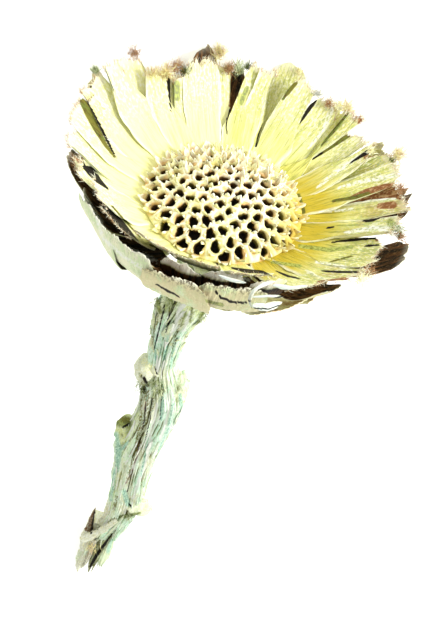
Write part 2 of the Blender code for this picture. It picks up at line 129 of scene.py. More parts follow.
# Marks on the innermost bracts, drawn over the photograph: kind, then x, y and half width in pixels
# The black marks here are painted shade in the slits and pockets between the bracts, and the olive ones are
# mostly painted shade in their folds
MARKS = (
    ("soot", (102, 205, 1.2), (110, 212, 2.6), (120, 224, 4.0), (130, 236, 3.4), (140, 245, 1.2)),
    ("soot", (104, 212, 1.4), (110, 226, 3.0), (120, 237, 3.4), (132, 243, 2.0)),
    ("rust", (107, 213, 2.0), (114, 225, 3.4), (124, 235, 3.0)),
    ("olive", (81, 97, 3.0), (88, 112, 3.6), (96, 128, 3.0), (105, 144, 1.8), (115, 158, 0.6)),
    ("soot", (86, 99, 0.4), (94, 114, 0.8), (102, 130, 1.0), (109, 144, 1.0), (116, 158, 0.4)),
    ("rust", (74, 151, 2.4), (80, 160, 3.0)),
    ("soot", (73, 147, 0.6), (79, 156, 0.9), (85, 165, 0.5)),
    ("olive", (358, 129, 1.8), (343, 139, 2.0), (330, 148, 1.2), (313, 159, 0.8)),
    ("olive", (348, 113, 1.0), (335, 129, 1.4), (321, 146, 0.8)),
    ("olive", (296, 83, 1.6), (289, 91, 2.0), (283, 99, 0.9)),
    ("olive", (333, 201, 1.2), (352, 198, 1.6), (368, 194, 2.0)),
    ("olive", (298, 196, 2.2), (303, 212, 2.0)),
    ("soot", (103, 67, 1.0), (107, 76, 1.2), (113, 90, 0.5)),
    ("soot", (87, 78, 0.8), (91, 88, 0.8)),
    ("soot", (168, 77, 1.7), (169, 90, 1.0), (171, 111, 0.4)),
    ("soot", (263, 125, 1.0), (259, 135, 1.3), (256, 146, 0.7)),
    ("soot", (320, 90, 0.9), (314, 102, 1.7), (307, 112, 1.6), (300, 123, 0.6)),
    ("soot", (313, 159, 0.6), (322, 153, 0.9)),
    ("soot", (379, 145, 2.4), (366, 153, 1.8), (350, 163, 0.6)),
    ("soot", (364, 221, 1.0), (372, 220, 1.6), (380, 217, 1.0)),
    ("soot", (327, 228, 0.7), (333, 227, 0.8)),
    ("soot", (333, 242, 0.5), (352, 240, 1.2), (385, 237, 0.9)),
    ("soot", (366, 246, 0.8), (378, 245, 0.9)),
    ("soot", (322, 271, 0.7), (340, 272, 1.0), (358, 272, 0.9)),
    ("soot", (230, 110, 0.7), (226, 124, 0.6), (227, 134, 0.3)),
    ("rust", (346, 199, 0.6), (367, 192, 3.0), (385, 189, 4.6), (401, 186, 3.6)),
    ("rust", (366, 156, 2.4), (374, 153, 2.6)),
    ("rust", (380, 206, 2.6), (393, 205, 3.4)),
    ("rust", (377, 240, 1.2), (392, 237, 1.8)),
    ("rust", (360, 120, 2.2), (361, 128, 2.0)),
    ("green_mark", (176, 84, 3.6), (177, 98, 3.0)),
    ("green_mark", (247, 88, 2.0), (241, 103, 2.0)),
    ("green_mark", (281, 71, 0.9), (274, 82, 1.0), (268, 95, 0.7)),
    ("green_mark", (390, 222, 3.0), (398, 230, 3.4)),
    ("green_mark", (340, 122, 2.6), (325, 140, 2.4)),
    ("white", (338, 188, 1.2), (360, 182, 1.8), (385, 177, 2.2), (402, 174, 2.0)),
    ("white", (348, 202, 0.8), (376, 199, 1.2), (404, 197, 1.8)),
    ("white", (345, 233, 1.2), (372, 228, 2.6), (386, 229, 3.4)),
    ("white", (318, 187, 1.2), (335, 173, 2.2), (352, 161, 1.8), (370, 150, 1.2)),
    ("white", (309, 148, 1.2), (322, 132, 1.6), (334, 104, 2.0)),
    ("white", (320, 212, 0.8), (352, 209, 1.4)),
    ("white", (316, 262, 1.2), (345, 267, 1.6)),
    ("soot", (84, 167, 1.6), (91, 171, 4.0), (98, 180, 2.6), (108, 189, 0.7)),
    ("rust", (235, 80, 2.4), (232, 95, 2.0), (230, 106, 1.0)),
    ("soot", (241, 80, 1.8), (236, 95, 1.6), (230, 111, 0.6)),
    ("soot", (232, 268, 0.8), (246, 271, 1.8), (262, 272, 1.4), (272, 276, 0.5)),
    ("soot", (276, 271, 0.5), (288, 276, 0.9), (300, 279, 0.5)),
    ("olive", (150, 245, 0.8), (172, 253, 1.2), (196, 261, 0.8)),
    ("olive", (112, 206, 0.8), (126, 222, 1.0), (140, 237, 0.8)),
    ("rust", (318, 282, 1.0), (345, 279, 1.4), (366, 277, 1.4)),
    ("olive", (330, 262, 0.7), (352, 256, 0.8)),
    ("green_mark", (300, 246, 1.6), (330, 250, 2.0), (352, 247, 1.6)),
    ("green_mark", (272, 262, 1.4), (300, 266, 1.6)),
    ("rust", (388, 262, 5.0), (400, 252, 5.0)),
)
# Pale patches inside the cup, on the middle and outer whorls at the near rim
CUP_MARKS = (
    ("white", (76, 186, 2.4), (84, 199, 3.4), (94, 216, 4.0), (104, 233, 3.6), (112, 243, 2.0)),
    ("white", (164, 258, 1.6), (180, 266, 2.8), (198, 273, 3.0), (214, 279, 1.6)),
    ("white", (216, 271, 1.4), (232, 274, 2.6), (248, 280, 1.6)),
    ("white", (129, 249, 1.4), (144, 255, 2.2), (157, 262, 1.4)),
)
# Marks on the outside of the cup's wall
# The black lines here are painted shade in the gaps between the wall's bracts
WALL_MARKS = (
    ("soot", (156, 284, 0.5), (168, 291, 1.1), (180, 297, 0.5)),
    ("soot", (219, 297, 0.6), (232, 302, 1.0), (246, 303, 0.7)),
    ("soot", (214, 290, 0.6), (221, 297, 0.8)),
    ("green_mark", (206, 301, 1.4), (222, 305, 1.6)),
    ("white", (94, 212, 1.0), (103, 238, 1.6), (120, 254, 1.2), (140, 267, 1.4)),
)
# Marks on the loose curls
# The black lines here are painted shade between and under the curls
CURL_MARKS = (
    ("soot", (246, 301, 0.6), (262, 301, 0.7), (284, 296, 0.6)),
    ("soot", (250, 308, 0.5), (268, 309, 0.5), (284, 304, 0.4)),
)
# Marks on the stem
# The black marks here are dark cracks, and painted shade in the gaps at the cut end
STEM_MARKS = (
    ("green_mark", (157, 300, 2.6), (160, 312, 2.0)),
    ("green_mark", (116, 421, 5.0), (127, 422, 5.0)),
    ("green_mark", (170, 297, 2.8), (171, 310, 2.0)),
    ("green_mark", (203, 315, 3.4), (199, 324, 2.4)),
    ("green_mark", (186, 312, 0.9), (181, 326, 0.8)),
    ("green_mark", (192, 308, 0.9), (190, 322, 0.8)),
    ("soot", (176, 300, 1.0), (170, 315, 1.5), (166, 332, 0.5)),
    ("olive", (160, 308, 0.9), (155, 326, 1.1), (152, 345, 0.6)),
    ("olive", (182, 318, 0.6), (176, 334, 0.8), (172, 348, 0.5)),
    ("white", (180, 304, 1.6), (176, 322, 1.8), (170, 336, 1.0)),
    ("white", (190, 312, 1.2), (184, 330, 1.4)),
    ("teal", (168, 336, 1.2), (165, 352, 1.6), (163, 366, 1.0)),
    ("teal", (155, 341, 1.0), (156, 362, 1.2)),
    ("teal", (174, 343, 0.9), (171, 368, 1.1)),
    ("teal", (161, 344, 0.7), (160, 366, 0.8)),
    ("soot", (155, 367, 0.6), (157, 374, 0.8)),
    ("soot", (144, 378, 1.6), (148, 386, 1.2)),
    ("olive", (143, 383, 2.6), (146, 398, 2.0)),
    ("olive", (156, 378, 2.0), (160, 394, 1.4)),
    ("olive", (142, 391, 1.4), (141, 416, 1.4), (136, 448, 1.4), (127, 480, 1.0)),
    ("olive", (149, 391, 1.0), (145, 427, 1.1), (139, 449, 0.9)),
    ("rust", (146, 400, 0.5), (143, 425, 0.6), (137, 452, 0.6)),
    ("rust", (137, 455, 0.5), (132, 472, 0.7), (126, 484, 0.5)),
    ("soot", (146, 404, 0.4), (143, 428, 0.5), (138, 450, 0.4)),
    ("soot", (152, 398, 0.4), (150, 420, 0.4), (144, 445, 0.3)),
    ("soot", (164, 385, 0.4), (161, 402, 0.5), (160, 420, 0.3)),
    ("soot", (133, 470, 0.4), (127, 492, 0.4)),
    ("soot", (165, 305, 0.8), (160, 325, 0.7), (154, 350, 0.4)),
    ("soot", (178, 335, 0.4), (172, 352, 0.5)),
    ("green_mark", (155, 392, 1.8), (151, 408, 1.2)),
    ("green_mark", (166, 304, 2.4), (164, 312, 1.4)),
    ("teal", (116, 434, 2.4), (119, 452, 2.6), (117, 470, 2.0)),
    ("teal", (112, 470, 1.4), (111, 500, 1.6)),
    ("white", (157, 404, 1.1), (153, 427, 1.5), (146, 448, 1.3)),
    ("white", (142, 443, 1.0), (133, 467, 1.3), (123, 488, 0.8)),
    ("white", (152, 440, 0.9), (143, 470, 1.2), (134, 498, 1.0)),
    ("white", (170, 392, 1.2), (168, 415, 1.4), (160, 440, 1.0)),
    ("teal", (163, 397, 0.9), (161, 420, 1.1)),
    ("teal", (180, 395, 1.4), (182, 411, 1.8), (176, 424, 1.0)),
    ("teal", (148, 437, 0.8), (145, 455, 1.0), (141, 476, 0.7)),
    ("teal", (173, 404, 0.8), (168, 430, 0.9), (158, 452, 0.7)),
    ("soot", (156, 456, 0.6), (154, 465, 0.8)),
    ("teal", (124, 492, 2.2), (128, 504, 2.4)),
    ("teal", (115, 470, 1.8), (112, 490, 1.8)),
    ("olive", (117, 497, 1.4), (114, 508, 1.8)),
    ("soot", (129, 504, 0.7), (131, 506, 0.9)),
    ("olive", (115, 530, 1.2), (106, 543, 2.2), (96, 556, 2.6), (88, 569, 2.2)),
    ("soot", (112, 534, 0.6), (104, 545, 1.4), (96, 556, 1.6), (90, 567, 1.2)),
    ("olive", (104, 526, 0.7), (112, 519, 0.8), (118, 519, 0.6)),
    ("soot", (91, 533, 1.0), (93, 522, 1.0), (95, 511, 0.7)),
    ("olive", (117, 417, 2.4), (127, 420, 3.2)),
    ("soot", (123, 427, 1.0), (129, 424, 1.2)),
    ("olive", (108, 533, 0.7), (116, 528, 0.7), (119, 522, 0.6)),
    ("green_mark", (120, 517, 1.6), (131, 515, 1.6), (140, 513, 1.2)),
    ("teal", (108, 552, 1.6), (111, 540, 1.8)),
)

# Middle bracts: azimuth, reach and lift of the tip, then how red and how pale each one is, its tip's
# width, and how torn it is
MIDDLE_BRACTS = (
    (79, 45.0, 10.6, 0.0, 1.0, 8.4, 0.01), (97, 41.8, 7.6, 0.5, 0.0, 6.4, 0.10),
    (109, 45.8, 10.4, 0.6, 0.0, 3.6, 0.03), (129, 39.6, 5.2, 0.3, 0.9, 6.0, 0.10),
    (149, 45.2, 9.0, 0.2, 1.0, 5.0, 0.08), (170, 38.6, 7.0, 0.5, 0.1, 6.4, 0.05),
    (188, 38.0, 7.4, 0.4, 0.0, 7.8, 0.05), (207, 34.6, 6.0, 0.3, 0.0, 8.8, 0.04),
    (243, 33.8, 7.4, 1.0, 0.0, 8.2, 0.06), (260, 31.2, 9.2, 0.2, 0.0, 9.6, 0.07),
    (278, 30.8, 9.6, 0.0, 0.0, 9.2, 0.07), (298, 32.2, 8.8, 0.3, 0.0, 8.6, 0.08),
    (320, 38.4, 7.2, 0.9, 0.0, 7.4, 0.10), (350.5, 44.6, 8.2, 0.5, 0.0, 11.8, 0.05),
    (15, 44.4, 8.0, 0.9, 0.0, 8.0, 0.08), (37, 43.2, 8.0, 0.5, 0.4, 6.0, 0.10),
    (58, 43.0, 8.2, 0.3, 0.7, 6.2, 0.10),
)
# Their root as radius and height, how far out the knee is in a low and in a steep bract, its height
# at each of the reaches below it, and the widths at the root and the middle
MIDDLE_ROOT = (17.0, -7.6)
MIDDLE_KNEE = 0.7
MIDDLE_STEEP_KNEE = 0.92
MIDDLE_KNEE_Z = (-3.5, -4.8)
MIDDLE_REACH = (34.0, 45.0)
MIDDLE_WIDTHS = (5.4, 9.8)

# Outer bracts: azimuth, reach and lift of the tip
OUTER_BRACTS = (
    (8, 33.0, -6.0), (34, 33.6, -6.2), (60, 33.8, -6.0), (86, 33.6, -6.2), (112, 33.8, -6.0),
    (137, 33.4, -6.0), (162, 31.8, -6.4), (187, 31.4, -4.4), (219, 34.6, 8.8), (240, 35.6, 9.2),
    (261, 35.4, 9.4), (282, 35.2, 9.0), (314, 29.0, -6.0), (340, 30.6, -6.6),
)
# Their root as radius and height, how far out the knee is and its height in a flat and in a cupped
# bract, the lifts that tell the two apart, how far the two layers lie from their middle, and the widths
OUTER_ROOT = (14.0, -11.7)
OUTER_FLAT_KNEE = (0.7, -11.6)
OUTER_CUP_KNEE = (0.93, -7.6)
OUTER_FLAT_LIFT = -6.0
OUTER_CUP_LIFT = 5.0
OUTER_LAYER = 0.45
OUTER_WIDTHS = (6.4, 16.6, 16.0)

# Basal bracts: their root, knee and tip as radius and height, and the widths
BASAL_COUNT = 11
BASAL_ROOT = (10.2, -16.2)
BASAL_KNEE = (16.5, -18.0)
BASAL_TIP = (22.0, -14.2)
BASAL_WIDTHS = (5.0, 8.8, 3.4)

# Stem: (radius, z) of the swollen neck, then x of the centre, z and width of the stem below it
NECK = ((16.5, -3.3), (13.0, -8.0), (9.0, -14.0), (6.4, -20.0))
STEM = (
    (-0.9, -26.0, 13.0), (-2.8, -33.0, 12.2), (-4.4, -40.0, 10.8), (-5.2, -46.0, 9.0),
    (-5.3, -52.0, 7.7), (-5.2, -58.5, 7.2), (-3.9, -63.5, 9.2), (-2.7, -70.0, 11.2),
    (-2.8, -77.5, 10.9), (-4.2, -85.0, 10.6), (-5.7, -95.0, 10.4), (-5.7, -106.0, 9.7),
    (-5.5, -114.0, 8.8), (-5.8, -120.0, 8.0), (-7.2, -127.0, 7.2), (-9.2, -133.0, 8.0),
    (-10.2, -139.0, 8.4),
)
STEM_RIBS = 5
STEM_RIB_DEPTH = 0.07
STEM_ROWS = 520
STEM_SIDES = 140
BARK_END_Z = -131.5
# Old leaf joints: centre and half sizes
LEAF_JOINTS = (
    ((-8.3, -1.2, -61.2), (3.1, 4.0, 3.6)), ((1.0, 0.4, -67.5), (2.4, 3.8, 5.5)),
    ((-10.2, 0.0, -88.4), (2.5, 3.0, 5.6)), ((-9.3, 0.3, -95.0), (2.6, 3.2, 6.4)),
    ((-2.0, -2.0, -115.0), (3.4, 3.0, 1.5)), ((-5.6, -1.6, -58.8), (2.2, 2.6, 2.4)),
)
# How woody and how green each of them is: the first two turn from wood to green towards the foot
JOINT_LOOKS = ((0.9, 0.1), (0.1, 0.2), (0.0, 1.0), (0.0, 0.1), (0.7, 0.2), (0.9, 0.1))
TWO_TONED_JOINTS = 2
# Prongs of the cut end: x at the foot, (x, z) at the point, width and thickness
PRONGS = (
    (-12.0, (-13.7, -153.0), 5.4, 3.2), (-8.1, (-8.1, -149.0), 5.0, 3.0),
)
PRONG_FOOT_Z = -128.0
# How many pressed scales stand in two rows, how many small ones, strips of bark, and chips at the cut
NECK_SCALE_COUNT = 10
SMALL_SCALE_COUNT = 90
FIBRE_COUNT = 110
CHIP_COUNT = 22
# Torn strips at the cut: pixels of both ends, y in the head frame, lean, width, thickness, taper,
# how ragged the tip is, then how woody, green, brown and dark each one is
CUT_STRIPS = (
    ((86, 536), (94.5, 508), -2.6, -1.0, 2.1, 0.9, 1.0, 0.0, 0.5, 0.2, 1.0, 0.0),
    ((82, 540), (107, 530), -4.3, -0.4, 2.4, 0.8, 0.4, 0.10, 1.0, 0.0, 0.0, 0.0),
    ((100, 531), (118, 522), -4.9, -0.2, 1.9, 0.7, 0.4, 0.06, 1.0, 0.0, 0.0, 0.0),
    ((90, 531), (78, 572), -2.6, 0.6, 3.8, 1.2, 0.3, 0.22, 1.0, 0.0, 0.0, 0.0),
    ((94, 540), (83, 568), -3.2, 0.6, 1.8, 0.8, 0.4, 0.25, 0.9, 0.0, 0.4, 0.0),
    ((109, 524), (88, 572), -1.6, 0.4, 2.6, 0.9, 0.2, 0.20, 0.1, 0.9, 0.0, 1.0),
    ((112, 524), (98, 568), -2.6, 0.6, 3.2, 1.2, 0.4, 0.25, 0.1, 0.5, 0.0, 0.0),
    ((106, 540), (94, 566), -2.9, 0.6, 1.2, 0.6, 0.4, 0.25, 0.0, 0.9, 0.0, 0.5),
)

# Loose curls and torn leaves off the near rim: half width in mm, then x, y in pixels and height
LOOSE_CURLS = (
    (0.40, (276, 281, 10.6), (264, 284, 10.4), (254, 290, 9.8), (249, 300, 8.0), (252, 309, 5.4)),
    (0.80, (252, 305, 8.0), (266, 308, 7.6), (283, 302, 7.4)),
    (0.35, (252, 297, 8.4), (268, 296, 8.8), (284, 297, 7.9)),
    (0.45, (272, 285, 10.0), (290, 288, 9.8), (309, 286, 9.8)),
    (0.35, (218, 275, 10.0), (232, 280, 10.0), (247, 283, 10.2)),
)

# Hairs: how many stand at each step of a torn edge, their length and radius, the corners of a hair in
# radians, and how many hairs there are for each one counted in a tuft at the tips
FRINGE_HAIRS = 3
FRINGE_LENGTH = 1.3
HAIR_RADIUS = 0.07
HAIR_CORNERS = (0.0, 2.0944, 4.1888)
TUFT_FILL = 1.7
# Tufts of hair and fluff at the tips: colour, pixel, height, spread in mm, hairs, length, curl
TUFTS = (
    ("rust", 133, 50, 11.2, 0.9, 70, 2.6, 1.1), ("tan", 152, 71, 10.2, 0.8, 60, 2.0, 0.9),
    ("tan", 165, 70, 10.2, 0.9, 90, 2.6, 0.9), ("rust", 176, 64, 9.8, 1.0, 90, 2.6, 0.9),
    ("black", 184, 70, 8.6, 0.8, 120, 2.2, 0.4), ("tan", 219, 49, 10.2, 1.0, 110, 3.0, 0.9),
    ("black", 220, 49, 10.2, 0.15, 14, 3.6, 0.1), ("rust", 229, 66, 9.8, 0.7, 70, 3.0, 0.5),
    ("green", 239, 66, 9.0, 0.8, 110, 3.2, 0.5), ("black", 248, 64, 9.6, 0.3, 30, 3.0, 0.2),
    ("rust", 330, 101, 10.2, 0.7, 50, 2.0, 0.9), ("tan", 350, 106, 10.2, 0.9, 90, 2.6, 0.9),
    ("grey", 319, 92, 10.2, 0.5, 60, 1.8, 0.6), ("rust", 359, 119, 10.0, 0.7, 60, 1.8, 0.9),
    ("tan", 401, 152, 10.2, 0.8, 90, 3.2, 1.3), ("black", 393, 159, 9.8, 0.3, 30, 1.4, 0.8),
    ("rust", 403, 188, 9.6, 0.7, 60, 2.0, 0.9),
    ("green", 398, 229, 9.8, 1.2, 110, 1.9, 0.9),
    ("rust", 403, 236, 9.0, 0.6, 50, 2.0, 0.8), ("white", 364, 278, 9.6, 1.0, 110, 2.2, 0.9),
    ("rust", 371, 272, 9.2, 0.9, 60, 2.0, 0.9), ("green", 94, 68, 10.4, 0.5, 70, 2.4, 0.3),
    ("white", 372, 150, 10.2, 0.9, 60, 1.6, 0.9),
    ("tan", 300, 70, 10.2, 0.9, 40, 1.2, 0.9), ("white", 340, 104, 10.2, 1.0, 70, 1.8, 0.9),
)

# Mossy hairs on the stem: colour, pixel, spread in mm, hairs, length
STEM_TUFTS = (
    ("green", 143, 382, 1.6, 150, 2.0), ("green", 156, 381, 1.8, 150, 2.2),
    ("black", 146, 388, 1.3, 70, 1.8), ("green", 160, 390, 1.3, 90, 1.8),
    ("green", 171, 300, 1.6, 120, 1.8), ("green", 158, 302, 1.5, 90, 1.6),
    ("green", 203, 318, 1.2, 90, 1.4), ("green", 120, 420, 1.6, 140, 1.0),
    ("green", 130, 515, 1.6, 90, 1.2), ("white", 150, 364, 2.0, 120, 1.2),
    ("tan", 92, 545, 1.8, 80, 1.6),
)

# Light: how strongly the dry surfaces shine, where 0.5 is usual, the floor's half size, its colour and
# its glow, the room's strength, then the key light's direction in the photograph, distance, size, power
SHEEN = 0.18
FLOOR_HALF = 2.0
FLOOR_WHITE = (0.94, 0.94, 0.93)
FLOOR_GLOW = 0.30
ROOM_STRENGTH = 0.95
KEY_LIGHT = ((0.80, 0.05, 0.60), 0.9, 0.25, 9.0)

SEED = 31


def lerp(a, b, t):
    return a + (b - a) * t


def smooth(t):
    """Smooth step from 0 to 1, of a number or an array."""
    t = np.clip(t, 0.0, 1.0)
    return t * t * (3.0 - 2.0 * t)


def lying_pose():
    """Matrix from the head frame in millimetres to the world in metres."""
    pitch = math.radians(PITCH_DEG)
    axis = Vector((math.cos(pitch), 0.0, math.sin(pitch)))
    low_side = Vector((math.sin(pitch), 0.0, -math.cos(pitch)))
    side = low_side.cross(axis)
    turned = Matrix((side, low_side, axis)).transposed().to_4x4()
    roll = Matrix.Rotation(math.radians(ROLL_DEG), 4, "Z")
    return Matrix.Translation(Vector(ORIGIN_IN_WORLD) * MM) @ turned @ roll @ Matrix.Scale(MM, 4)


def camera_place():
    """The camera's place in the head frame: its axis meets the middle of the photograph."""
    right, up, back = photo_axes()
    aside = (HEAD_PIXEL[0] - PHOTO_SIZE[0] / 2) * MM_PER_PIXEL
    below = (PHOTO_SIZE[1] / 2 - HEAD_PIXEL[1]) * MM_PER_PIXEL
    return back * VIEW_DISTANCE - right * aside - up * below


def seen_at(px, py, z=None, y=None):
    """Point of the head frame, at this height or this y, that shows at this pixel of the photograph."""
    right, up, back = photo_axes()
    aside, above = (px - PHOTO_SIZE[0] / 2) * MM_PER_PIXEL, (PHOTO_SIZE[1] / 2 - py) * MM_PER_PIXEL
    ray = right * aside + up * above - back * VIEW_DISTANCE
    eye = camera_place()
    share = (z - eye.z) / ray.z if y is None else (y - eye.y) / ray.y
    return np.array(eye + ray * share)


def photo_axes():
    """Right, up and back of the photograph's view, in the head frame."""
    slant, turn = math.radians(VIEW_SLANT_DEG), math.radians(VIEW_TURN_DEG)
    back = Vector((0.0, -math.sin(slant), math.cos(slant)))
    rise = Vector((0.0, math.cos(slant), math.sin(slant)))
    level = Vector((1.0, 0.0, 0.0))
    right = level * math.cos(turn) + rise * math.sin(turn)
    up = rise * math.cos(turn) - level * math.sin(turn)
    return right, up, back


POSE = lying_pose()
POSE_ARRAY = np.array(POSE)


def pixels_of(points):
    """Where points of the head frame show in the photograph."""
    right, up, back = (np.array(axis) for axis in photo_axes())
    away = points - np.array(camera_place())
    grow = VIEW_DISTANCE / (away @ -back) / MM_PER_PIXEL
    return np.stack((PHOTO_SIZE[0] / 2 + away @ right * grow, PHOTO_SIZE[1] / 2 - away @ up * grow), -1)


def marked(points, marks):
    """How strongly each kind of mark covers each point, as a dictionary of arrays from 0 to 1."""
    places = pixels_of(points)
    shares = {}
    for kind, *line in marks:
        share = shares.setdefault(kind, np.zeros(places.shape[:-1]))
        for (x0, y0, wide0), (x1, y1, wide1) in zip(line, line[1:]):
            start, run = np.array((x0, y0), float), np.array((x1 - x0, y1 - y0), float)
            t = np.clip((places - start) @ run / (run @ run), 0.0, 1.0)
            apart = np.linalg.norm(places - start - t[..., None] * run, axis=-1)
            np.maximum(share, smooth(1.6 - apart / lerp(wide0, wide1, t)), out=share)
    return shares


# Shader expressions


class Value:
    """A number socket in a material, on which sums can be written."""

    def __init__(self, finish, socket):
        self.finish = finish
        self.socket = socket

    def maths(self, operation, *others):
        return self.finish.node("ShaderNodeMath", {"operation": operation}, (self, *others))

    def __add__(self, other):
        return self.maths("ADD", other)

    def __radd__(self, other):
        return self.maths("ADD", other)

    def __sub__(self, other):
        return self.maths("SUBTRACT", other)

    def __rsub__(self, other):
        return self.finish.node("ShaderNodeMath", {"operation": "SUBTRACT"}, (other, self))

    def __mul__(self, other):
        return self.maths("MULTIPLY", other)

    def __rmul__(self, other):
        return self.maths("MULTIPLY", other)

    def clamped(self):
        return self.finish.node("ShaderNodeMath", {"operation": "ADD", "use_clamp": True}, (self, 0.0))

    def step(self, low, high):
        """0 below low, 1 above high, and a smooth slope between them."""
        settings = {"interpolation_type": "SMOOTHSTEP"}
        return self.finish.node("ShaderNodeMapRange", settings, {0: self, 1: low, 2: high, 3: 0.0, 4: 1.0})


class Finish:
    """One procedural material, and the notes that its meshes carry."""

    def __init__(self, name, roughness):
        self.material = bpy.data.materials.new(name)
        self.material.use_nodes = True
        self.tree = self.material.node_tree
        self.shader = self.tree.nodes["Principled BSDF"]
        self.set(self.shader.inputs["Roughness"], roughness)
        self.set(self.shader.inputs["Specular IOR Level"], SHEEN)

    def set(self, socket, value):
        if isinstance(value, Value):
            self.tree.links.new(value.socket, socket)
        elif isinstance(value, tuple) and len(value) == 3 and socket.type == "RGBA":
            socket.default_value = (*value, 1.0)
        else:
            socket.default_value = value

    def node(self, kind, settings, values=(), output=0):
        """A node of this kind: its settings are set first, then its sockets by place or by name."""
        made = self.tree.nodes.new(kind)
        for name, setting in settings.items():
            setattr(made, name, setting)
        pairs = values.items() if isinstance(values, dict) else enumerate(values)
        for socket, value in pairs:
            self.set(made.inputs[socket], value)
        return Value(self, made.outputs[output])

    def note(self, name, output=2):
        """A note that the mesh carries: output 1 is its vector, 2 its number."""
        return self.node("ShaderNodeAttribute", {"attribute_name": name}, output=output)

    def notes(self, *names):
        return [self.note(name) for name in names]

    def mix(self, first, second, share):
        """Colour between two colours."""
        settings = {"data_type": "RGBA", "clamp_factor": True}
        return self.node("ShaderNodeMix", settings, {0: share, 6: first, 7: second}, output=2)

    def stretched(self, vector, scale):
        return self.node("ShaderNodeVectorMath", {"operation": "MULTIPLY"}, (vector, scale))

    def noise(self, vector, scale, detail=3.0, rough=0.55):
        places = {"Vector": vector, "Scale": scale, "Detail": detail, "Roughness": rough}
        return self.node("ShaderNodeTexNoise", {}, places)

    def bump(self, height, strength, distance):
        places = {"Strength": strength, "Distance": distance, "Height": height}
        self.set(self.shader.inputs["Normal"], self.node("ShaderNodeBump", {}, places))

    def colour(self, value):
        self.set(self.shader.inputs["Base Color"], value)


# Mesh gathering


class Piece:
    """Points, faces and notes of one piece, gathered before its mesh is made."""

    def __init__(self, name):
        self.name = name
        self.points = []
        self.faces = []
        self.notes = {}
        self.count = 0

    def add(self, points, faces, **notes):
        """Adds points and faces, with a note of each kind for every point: 0 where none is given."""
        points = np.asarray(points, float).reshape(-1, 3)
        for name in set(self.notes) | set(notes):
            width = 3 if name == "grain" else 1
            kept = self.notes.setdefault(name, [np.zeros((self.count, width))])
            value = np.asarray(notes.get(name, 0.0), float)
            value = value.reshape(-1, width) if value.ndim else value
            kept.append(np.broadcast_to(value, (len(points), width)))
        self.points.append(points)
        self.faces.append(np.asarray(faces) + self.count)
        self.count += len(points)

    def build(self, finish, slot, *replaced, sharp_deg=50.0):
        points = np.vstack(self.points) @ POSE_ARRAY[:3, :3].T + POSE_ARRAY[:3, 3]
        # Hairs and chips that would reach into the floor lie pressed flat on it
        points[:, 2] = np.maximum(points[:, 2], 0.0)
        mesh = bpy.data.meshes.new(self.name)
        faces = [row for block in self.faces for row in block.tolist()]
        mesh.from_pydata(points.tolist(), [], faces)
        for name, blocks in self.notes.items():
            kind = "FLOAT_VECTOR" if name == "grain" else "FLOAT"
            layer = mesh.attributes.new(name, kind, "POINT")
            layer.data.foreach_set("vector" if name == "grain" else "value",
                                   np.concatenate(blocks).astype(np.float32).ravel())
        mesh.materials.append(finish.material)
        mesh.shade_smooth()
        mesh.set_sharp_from_angle(angle=math.radians(sharp_deg))
        made = bpy.data.objects.new(self.name, mesh)
        bpy.context.scene.collection.objects.link(made)
        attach(made, "root")
        if replaced:
            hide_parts(*replaced)


def unit(vectors):
    return vectors / np.maximum(np.linalg.norm(vectors, axis=-1, keepdims=True), 1e-9)


def wander(draw, count, knots):
    """Smooth random line of numbers from -1 to 1."""
    heights = draw.uniform(-1.0, 1.0, knots + 1)
    place = np.linspace(0.0, knots - 1e-6, count)
    low = place.astype(int)
    return lerp(heights[low], heights[low + 1], smooth(place - low))


def grid_faces(rows, columns, first=0, flip=False):
    """Quads of a grid of points with this many steps each way."""
    i, k = np.meshgrid(np.arange(rows), np.arange(columns), indexing="ij")
    a = first + i * (columns + 1) + k
    quads = np.stack((a, a + 1, a + columns + 2, a + columns + 1), -1).reshape(-1, 4)
    return quads[:, ::-1] if flip else quads


